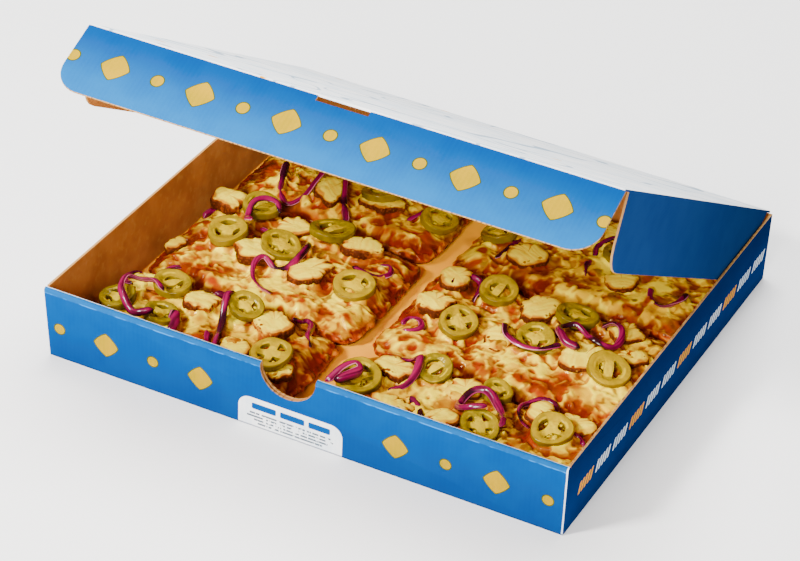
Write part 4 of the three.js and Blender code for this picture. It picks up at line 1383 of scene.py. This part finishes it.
def taper(away):
    """The share of its full size that a strip has at this distance from an end."""
    return np.clip(np.sqrt(np.clip(away, 0, None) / 3), 0.12, 1)


def strip_points(path, section, spots, seed):
    """The section swept along a line, turning slowly and thinning to its ends."""
    draw = stream(seed + 500)
    level, upright = strip_frame(path)
    share = spots / spots[-1]
    start_turn, end_turn = 2.4 * (next(draw) - 0.5), 2.4 * (next(draw) - 0.5)
    turn = start_turn + (end_turn - start_turn) * share + 0.3 * np.sin(3 * share * math.pi + seed)
    size = taper(spots) * taper(spots[-1] - spots)
    size *= 1 + 0.14 * np.sin(share * 7 + seed)
    points = []
    for i in range(len(path)):
        c, s = math.cos(turn[i]), math.sin(turn[i])
        across = level[i] * c + upright[i] * s
        up = upright[i] * c - level[i] * s
        points.append(path[i] + size[i] * (section[:, :1] * across + section[:, 1:] * up))
    return np.concatenate(points)


def strip_faces(rows):
    """Quads from row to row, and one face at each end."""
    faces = []
    for i in range(rows - 1):
        for k in range(STRIP_SIDES):
            a, b = i * STRIP_SIDES + k, i * STRIP_SIDES + (k + 1) % STRIP_SIDES
            faces.append((a, a + STRIP_SIDES, b + STRIP_SIDES, b))
    faces.append(tuple(range(STRIP_SIDES)))
    faces.append(tuple(range((rows - 1) * STRIP_SIDES, rows * STRIP_SIDES))[::-1])
    return faces


def strip(name, breadth, line, heights, spots, seed):
    """A crescent swept along a line in space."""
    around = np.linspace(0, 2 * math.pi, STRIP_SIDES, endpoint=False)
    wide, thick = 0.54 * breadth, 0.26 * breadth
    curl = 0.26 * breadth * (0.5 - np.cos(around) ** 2)
    rise = thick * np.sin(around) * (0.55 + 0.45 * np.sin(around) ** 2) + curl
    section = np.stack([wide * np.cos(around), rise], 1)
    points = strip_points(np.column_stack([line, heights]), section, spots, seed)
    piece = new_piece(name, points, strip_faces(len(line)), ONION)
    mesh = piece.data
    angle = np.tile(around, len(line))
    along = np.repeat(spots, STRIP_SIDES)
    end = np.minimum(along, spots[-1] - along)
    rim_at = 0.35 if seed % 2 else math.pi - 0.35
    rim = np.exp(-((angle - rim_at) / 0.3) ** 2)
    blotch = space_noise(points / 12, seed)
    # darker at the ends and in random blotches; the last term is painted shade along both sides of
    # the strip
    dark = 0.55 * (1 - smoothstep(end, 0, 6)) + 1.1 * blotch + 0.5 * np.cos(angle) ** 4
    local = np.column_stack([np.cos(angle) * 3, np.sin(angle) * 3, along / 18])
    give_attribute(mesh, "inner", np.maximum(rim, 0.75 * smoothstep(-np.sin(angle), 0.1, 0.8)))
    give_attribute(mesh, "dark", np.clip(dark, 0, 1))
    give_attribute(mesh, "streak", 0.5 + 0.5 * space_noise(local, seed + 1))
    make_active(piece)
    bpy.ops.object.mode_set(mode="EDIT")
    bpy.ops.mesh.select_all(action="SELECT")
    bpy.ops.mesh.normals_make_consistent(inside=False)
    bpy.ops.object.mode_set(mode="OBJECT")
    smooth_all(mesh)
    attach(piece, "base")
    return piece


# %% Onion strips
SETTLE_REACH = 3.0  # mm

strips = []
for k, (breadth, route) in enumerate(ONION_LOOSE):
    node = f"onion_{k + 1:02d}"
    corners = solid_corners(node)
    line, spots = smooth_route(route)
    apart = np.linalg.norm(line[:, None] - corners[None, :, :2], axis=2)
    weight = np.exp(-0.5 * (apart / 3.5) ** 2) + 1e-9
    heights = settle((weight @ corners[:, 2]) / weight.sum(1), spots, SETTLE_REACH)
    piece = strip(f"onion_strip_{k + 1:02d}", breadth, line, heights, spots, k + 1)
    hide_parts(node)
    strips.append(piece)

for k, (breadth, route) in enumerate(ONION_SUNK):
    line, spots = smooth_route(route)
    tops = np.array([cad_top(x, y) for x, y in line])
    heights = settle(tops - 0.42 * breadth, spots, SETTLE_REACH)
    strips.append(strip(f"sunk_strip_{k + 1:02d}", breadth, line, heights, spots, k + 31))
toppings += strips
print("onion strips:", len(strips))

# %% [markdown]
# ## The cheese as maps
# Shreds of cheese melt into one another over a red sauce. Hundreds of short soft ridges are laid at
# random on a map of the tray and blurred a little. Where a topping lies low the cheese climbs to
# meet it. More maps say where the cheese is pale, where sauce shows and where it has browned; the
# sauce's dark red in the hollows is partly painted shade.

# %% Cheese maps
RAISED = 1.4  # mm, the melted surface above the solids' mean height
EMPTY = 99.0  # mm, stands for no topping over a cell
SHREDS = 850


def lowest_over(pieces):
    """The lowest point of the pieces over each cell, or EMPTY where there is none."""
    low = np.full(GRID_X.shape, EMPTY)
    for piece in pieces:
        points = positions(piece.data) / MM
        i = np.round((points[:, 0] - MAP_X[0]) / CELL).astype(int)
        j = np.round((points[:, 1] - MAP_Y[0]) / CELL).astype(int)
        np.minimum.at(low, (j, i), points[:, 2])
    return low


def lay_shreds(height, tint, count, seed):
    """Lays single melted shreds over the relief, each with its own paleness."""
    rng = np.random.default_rng(seed)
    window = int(13 / CELL)
    for _ in range(count):
        x, y = rng.uniform(MAP_X[0], MAP_X[-1]), rng.uniform(MAP_Y[0], MAP_Y[-1])
        i, j = int((x - MAP_X[0]) / CELL), int((y - MAP_Y[0]) / CELL)
        rows = slice(max(j - window, 0), j + window)
        columns = slice(max(i - window, 0), i + window)
        turn = rng.uniform(0, math.pi)
        length, half, thick = rng.uniform(4, 18), rng.uniform(0.9, 1.6), rng.uniform(0.4, 1.1)
        dx, dy = GRID_X[rows, columns] - x, GRID_Y[rows, columns] - y
        u = dx * math.cos(turn) + dy * math.sin(turn)
        bow, wave, phase = rng.uniform(-0.06, 0.06), rng.uniform(0.3, 1.0), rng.uniform(0, 6)
        bent = bow * u * u + wave * np.sin(0.5 * u + phase)
        v = dy * math.cos(turn) - dx * math.sin(turn) + bent
        near = np.hypot(np.maximum(np.abs(u) - length / 2, 0), v) / half
        dome = np.clip(1 - near * near, 0, 1) ** 0.7
        height[rows, columns] += thick * dome
        tint[rows, columns] += rng.uniform(0.0, 0.42) * dome


def patches(seed, size, low, high):
    """Melted patches with ragged soft edges: 0 beside them and 1 on them."""
    rough = swells(seed, size) + 0.6 * swells(seed + 1, 0.5 * size)
    rough = rough + 0.3 * swells(seed + 2, 0.25 * size)
    return smoothstep(rough, low, high)


def ranked(values):
    """Each value's place from 0 to 1 among all of them."""
    order = np.empty(values.size)
    order[np.argsort(values, axis=None)] = np.linspace(0, 1, values.size)
    return order.reshape(values.shape)


region = swells(61, 9.0)
first = patches(31, 4.2, -0.85 - 0.35 * region, -0.25 - 0.35 * region)
second = patches(34, 3.0, 0.05 - 0.35 * region, 0.55 - 0.35 * region)
shreds = 0.6 * swells(41, 6.0) + 1.3 * first + 0.9 * second + 0.15 * swells(42, 1.6)
tint = 0.02 + 0.30 * first + 0.26 * second + 0.09 * swells(43, 2.0)
lay_shreds(shreds, tint, SHREDS, 5)
pools = patches(71, 6.0, 0.55, 0.9)
shreds += 0.75 * pools * (smooth(shreds, 2.6) + 0.7 - shreds)
shreds = smooth(shreds - shreds.mean(), 0.6)
ridge = shreds - smooth(shreds, 3.2)
# The colour follows the relief: raised shreds paler and red sauce in the hollows, whose darkness
# there is partly painted shade.
paleness = tint + 0.30 * smoothstep(ridge, -0.9, 0.9) + 0.16 * (region + swells(62, 5.0))
pale = ranked(paleness + 0.30 * pools)
sauce = smoothstep(-ridge + 0.25 * swells(21, 3.0) - 0.15 * region, 0.45, 1.3)
browned = smoothstep(0.5 * ridge + 0.7 * swells(22, 4.0) + 0.5 * swells(23, 1.3), 1.15, 1.9)
shreds = 0.82 * shreds - 0.4 * sauce
lowest = lowest_over(toppings)
print("cheese relief from", round(shreds.min(), 1), "to", round(shreds.max(), 1), "mm")

# %% [markdown]
# ## Slices
# A slice's surface is a grid bent to its rounded outline, which drops over the rim and runs down
# the baked side to the tray. The solids give the outline and the broad swells, and the maps the
# fine relief.

# %% Cheese finish
SAUCE_RED, OILY_RED = (0.12, 0.008, 0.001), (0.23, 0.036, 0.001)
CHEESE_TONES = [(0.10, 0.30, (0.33, 0.094, 0.001)), (0.28, 0.46, (0.46, 0.205, 0.001)),
                (0.46, 0.70, (0.76, 0.45, 0.001)), (0.70, 0.98, (0.99, 0.79, 0.004))]


def cheese_colour(tree):
    place = place_of(tree)[0]
    pale, red = attribute(tree, "pale"), attribute(tree, "sauce")
    brown, side, folds = attribute(tree, "browned"), attribute(tree, "side"), attribute(tree, "folds")
    fine = grain(tree, place, 260.0, 4.0)
    blotch = grain(tree, place, 90.0, 3.0)
    tone = plus(tree, pale, times(tree, minus(tree, blotch, 0.5), 0.35))
    ground = mix(tree, between(tree, tone, -0.05, 0.15), SAUCE_RED, OILY_RED)
    for low, high, colour in CHEESE_TONES:
        ground = mix(tree, between(tree, tone, low, high), ground, colour)
    # sauce red, which in the hollows is partly painted shade
    red_share = times(tree, red, between(tree, blotch, 0.2, 0.5))
    ground = mix(tree, red_share, ground, (0.20, 0.010, 0.001))
    ground = mix(tree, times(tree, brown, 0.8), ground, (0.15, 0.028, 0.001))
    # The baked side is darker in the recesses of its folds and lighter on its bulges: baked colour
    # with painted shade in the recesses.
    baked = mix(tree, between(tree, folds, 0.25, 0.55), (0.10, 0.006, 0.001), (0.32, 0.036, 0.001))
    baked = mix(tree, between(tree, folds, 0.55, 0.8), baked, (0.60, 0.17, 0.001))
    ground = mix(tree, side, ground, baked)
    return {"Base Color": ground, "Normal": bump(tree, fine, 0.5 * MM, 0.6),
            "Roughness": between(tree, fine, -0.2, 2.4)}


CHEESE = finish("melted_cheese", cheese_colour, Specular_IOR_Level=0.22,
                Specular_Tint=(1.0, 0.75, 0.3, 1.0))

CHEESE_Z, BASE_Z = 15.0, 1.9
RIM_DROP, RIM_WIDTH = 5.0, 13.0
BULGE, FOOT = 1.4, 0.6
SPACING = 0.6  # mm between the points of the cheese
SKIRT_ROWS = 24
SKIRT_DROP = np.arange(1, SKIRT_ROWS + 1) / SKIRT_ROWS  # 0 at the rim, 1 at the tray


class Slice:
    """The outline and broad relief of one slice, as its solid has them."""

    def __init__(self, x0, x1, y0, y1, corner, seed):
        self.half = np.array([(x1 - x0) / 2 - BULGE, (y1 - y0) / 2 - BULGE])
        self.middle = np.array([(x0 + x1) / 2, (y0 + y1) / 2])
        self.corner = corner
        self.seed = seed

    def at(self, u, v, out=0.0):
        """Points of the square from -1 to 1 bent to the slice's outline, out mm beyond it."""
        reach = np.maximum(np.maximum(np.abs(u), np.abs(v)), 1e-6)
        edge = np.stack([u / reach, v / reach], axis=-1)
        sign = np.sign(edge)
        point = edge * self.half
        centre = sign * (self.half - self.corner)
        outward = point - centre
        round_here = np.all(outward * sign > 0, axis=-1)
        length = np.maximum(np.linalg.norm(outward, axis=-1), 1e-9)
        rounded = centre + outward * (self.corner / length)[..., None]
        point = np.where(round_here[..., None], rounded, point)
        inward = 1 - plane_noise(point[..., 0] / 16, point[..., 1] / 16, self.seed)
        scale = reach * (1 - inward / self.half[1]) * (1 + out / self.half[1])
        return point * scale[..., None] + self.middle

    def broad_height(self, x, y, rim):
        """The solid's own swells, falling towards its rim."""
        fall = 1 - smoothstep(rim, 0, RIM_WIDTH)
        lumps = 1.2 * plane_noise(x / 17, y / 17, self.seed + 1)
        lumps = lumps + 0.8 * plane_noise(x / 9, y / 9, self.seed + 2)
        return CHEESE_Z + lumps * (1 - 0.5 * fall) - RIM_DROP * fall


def cheese_height(shape, x, y, rim):
    """The melted surface in mm, climbing a little to the toppings that lie in it."""
    near_rim = 1 - smoothstep(rim, 0, 7)
    return shape.broad_height(x, y, rim) + RAISED * (1 - 0.35 * near_rim) + sample(shreds, x, y)


def grid_rim(across, along):
    """Indices of the points round the rim of a grid, in order."""
    row = across + 1
    return np.concatenate([np.arange(across), across + row * np.arange(along),
                           along * row + np.arange(across, 0, -1), row * np.arange(along, 0, -1)])


def slice_side(shape, u, v, rim_height):
    """Rows of points down a slice's baked side, and how folded each of them is."""
    rows, creases = [], []
    for t in SKIRT_DROP:
        z = rim_height * (1 - t) + BASE_Z * t
        bulge = BULGE * np.sin(math.pi * min(1, 1.25 * t)) - FOOT * smoothstep(t, 0.75, 1.0)
        plain = np.column_stack([shape.at(u, v), z])
        folds = space_noise(plain / 4.5, shape.seed)
        crags = space_noise(plain / 1.7, shape.seed + 1)
        out = bulge + (1.1 * folds + 0.45 * crags) * math.sin(math.pi * t) ** 0.7
        rows.append(np.column_stack([shape.at(u, v, out), z]))
        # crease values follow the side's bulges and fall towards the tray; low values give dark
        # colour, baked tone with painted shade in the recesses
        creases.append(0.55 + 0.45 * folds + 0.25 * crags - 0.25 * t)
    return rows, creases


def slice_faces(across, along, around, hub):
    """Quads of a slice's top and side, and a fan of triangles under it."""
    row, count = across + 1, len(around)
    i, j = np.meshgrid(np.arange(across), np.arange(along))
    a = (j * row + i).ravel()
    quads = [np.column_stack([a, a + 1, a + row + 1, a + row])]
    for k in range(SKIRT_ROWS):
        below = row * (along + 1) + k * count + np.arange(count)
        quads.append(np.column_stack([around, below, np.roll(below, -1), np.roll(around, -1)]))
        around = below
    fan = [(hub, int(around[(k + 1) % count]), int(around[k])) for k in range(count)]
    return np.concatenate(quads).tolist() + fan


def slice_piece(node, outline):
    """The cheese of one slice, from its top down to the tray."""
    shape = Slice(*outline)
    across, along = (2 * shape.half / SPACING).astype(int)
    u, v = np.meshgrid(np.linspace(-1, 1, across + 1), np.linspace(-1, 1, along + 1))
    spots = shape.at(u, v)
    x, y = spots[..., 0], spots[..., 1]
    rim = np.minimum((1 - np.abs(u)) * shape.half[0], (1 - np.abs(v)) * shape.half[1])
    height = cheese_height(shape, x, y, rim) + sample(climb, x, y)
    top = np.column_stack([x.ravel(), y.ravel(), height.ravel()])
    around = grid_rim(across, along)
    side, creases = slice_side(shape, u.ravel()[around], v.ravel()[around], top[around, 2])
    points = np.concatenate([top, *side, [[*shape.middle, BASE_Z]]])
    faces = slice_faces(across, along, around, len(points) - 1)
    piece = new_piece(node + "_cheese", points, faces, CHEESE)

    drop = np.concatenate([np.zeros(len(top)), np.repeat(SKIRT_DROP, len(around)), [1]])
    edge_rim = np.concatenate([rim.ravel(), np.zeros(len(points) - len(top))])
    px, py = points[:, 0], points[:, 1]
    worn = sample(swells_small, px, py)
    baked = 1 - smoothstep(edge_rim + 2.0 * worn, 0, 6)
    mesh = piece.data
    red = sample(sauce, px, py) + 0.35 * baked
    brown = sample(browned, px, py) + 0.3 * baked * (worn > 0.4)
    give_attribute(mesh, "pale", sample(pale, px, py) - 0.35 * baked)
    give_attribute(mesh, "sauce", np.clip(red, 0, 1))
    give_attribute(mesh, "browned", np.clip(brown, 0, 1))
    give_attribute(mesh, "side", smoothstep(drop + 0.10 * worn, 0.04, 0.25))
    give_attribute(mesh, "folds", np.concatenate([np.full(len(top), 0.5), *creases, [0.2]]))
    smooth_all(mesh)
    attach(piece, "base")
    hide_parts(node)
    return piece


# %% Slices
CLIMB = -1.5, 3.2  # mm, how far the cheese goes down or up to meet a topping

swells_small = swells(41, 2.6)
mean_level = CHEESE_Z + RAISED + shreds
covered = lowest < EMPTY
wanted = np.where(covered, np.clip(lowest + 1.0 - mean_level, *CLIMB), 0.0)
spread = smooth(covered.astype(float), 1.6)
climb = smooth(wanted, 1.6) / np.maximum(spread, 0.25) * smoothstep(spread, 0.0, 0.5)
for node, outline in SLICES.items():
    piece = slice_piece(node, outline)
    print(piece.name, len(piece.data.polygons), "faces")

# %% [markdown]
# ## Sizes
# The dressed model is measured, and its bounds are printed.

# %% Sizes
low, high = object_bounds()
print("dressed box", [round(v, 4) for v in low], [round(v, 4) for v in high])
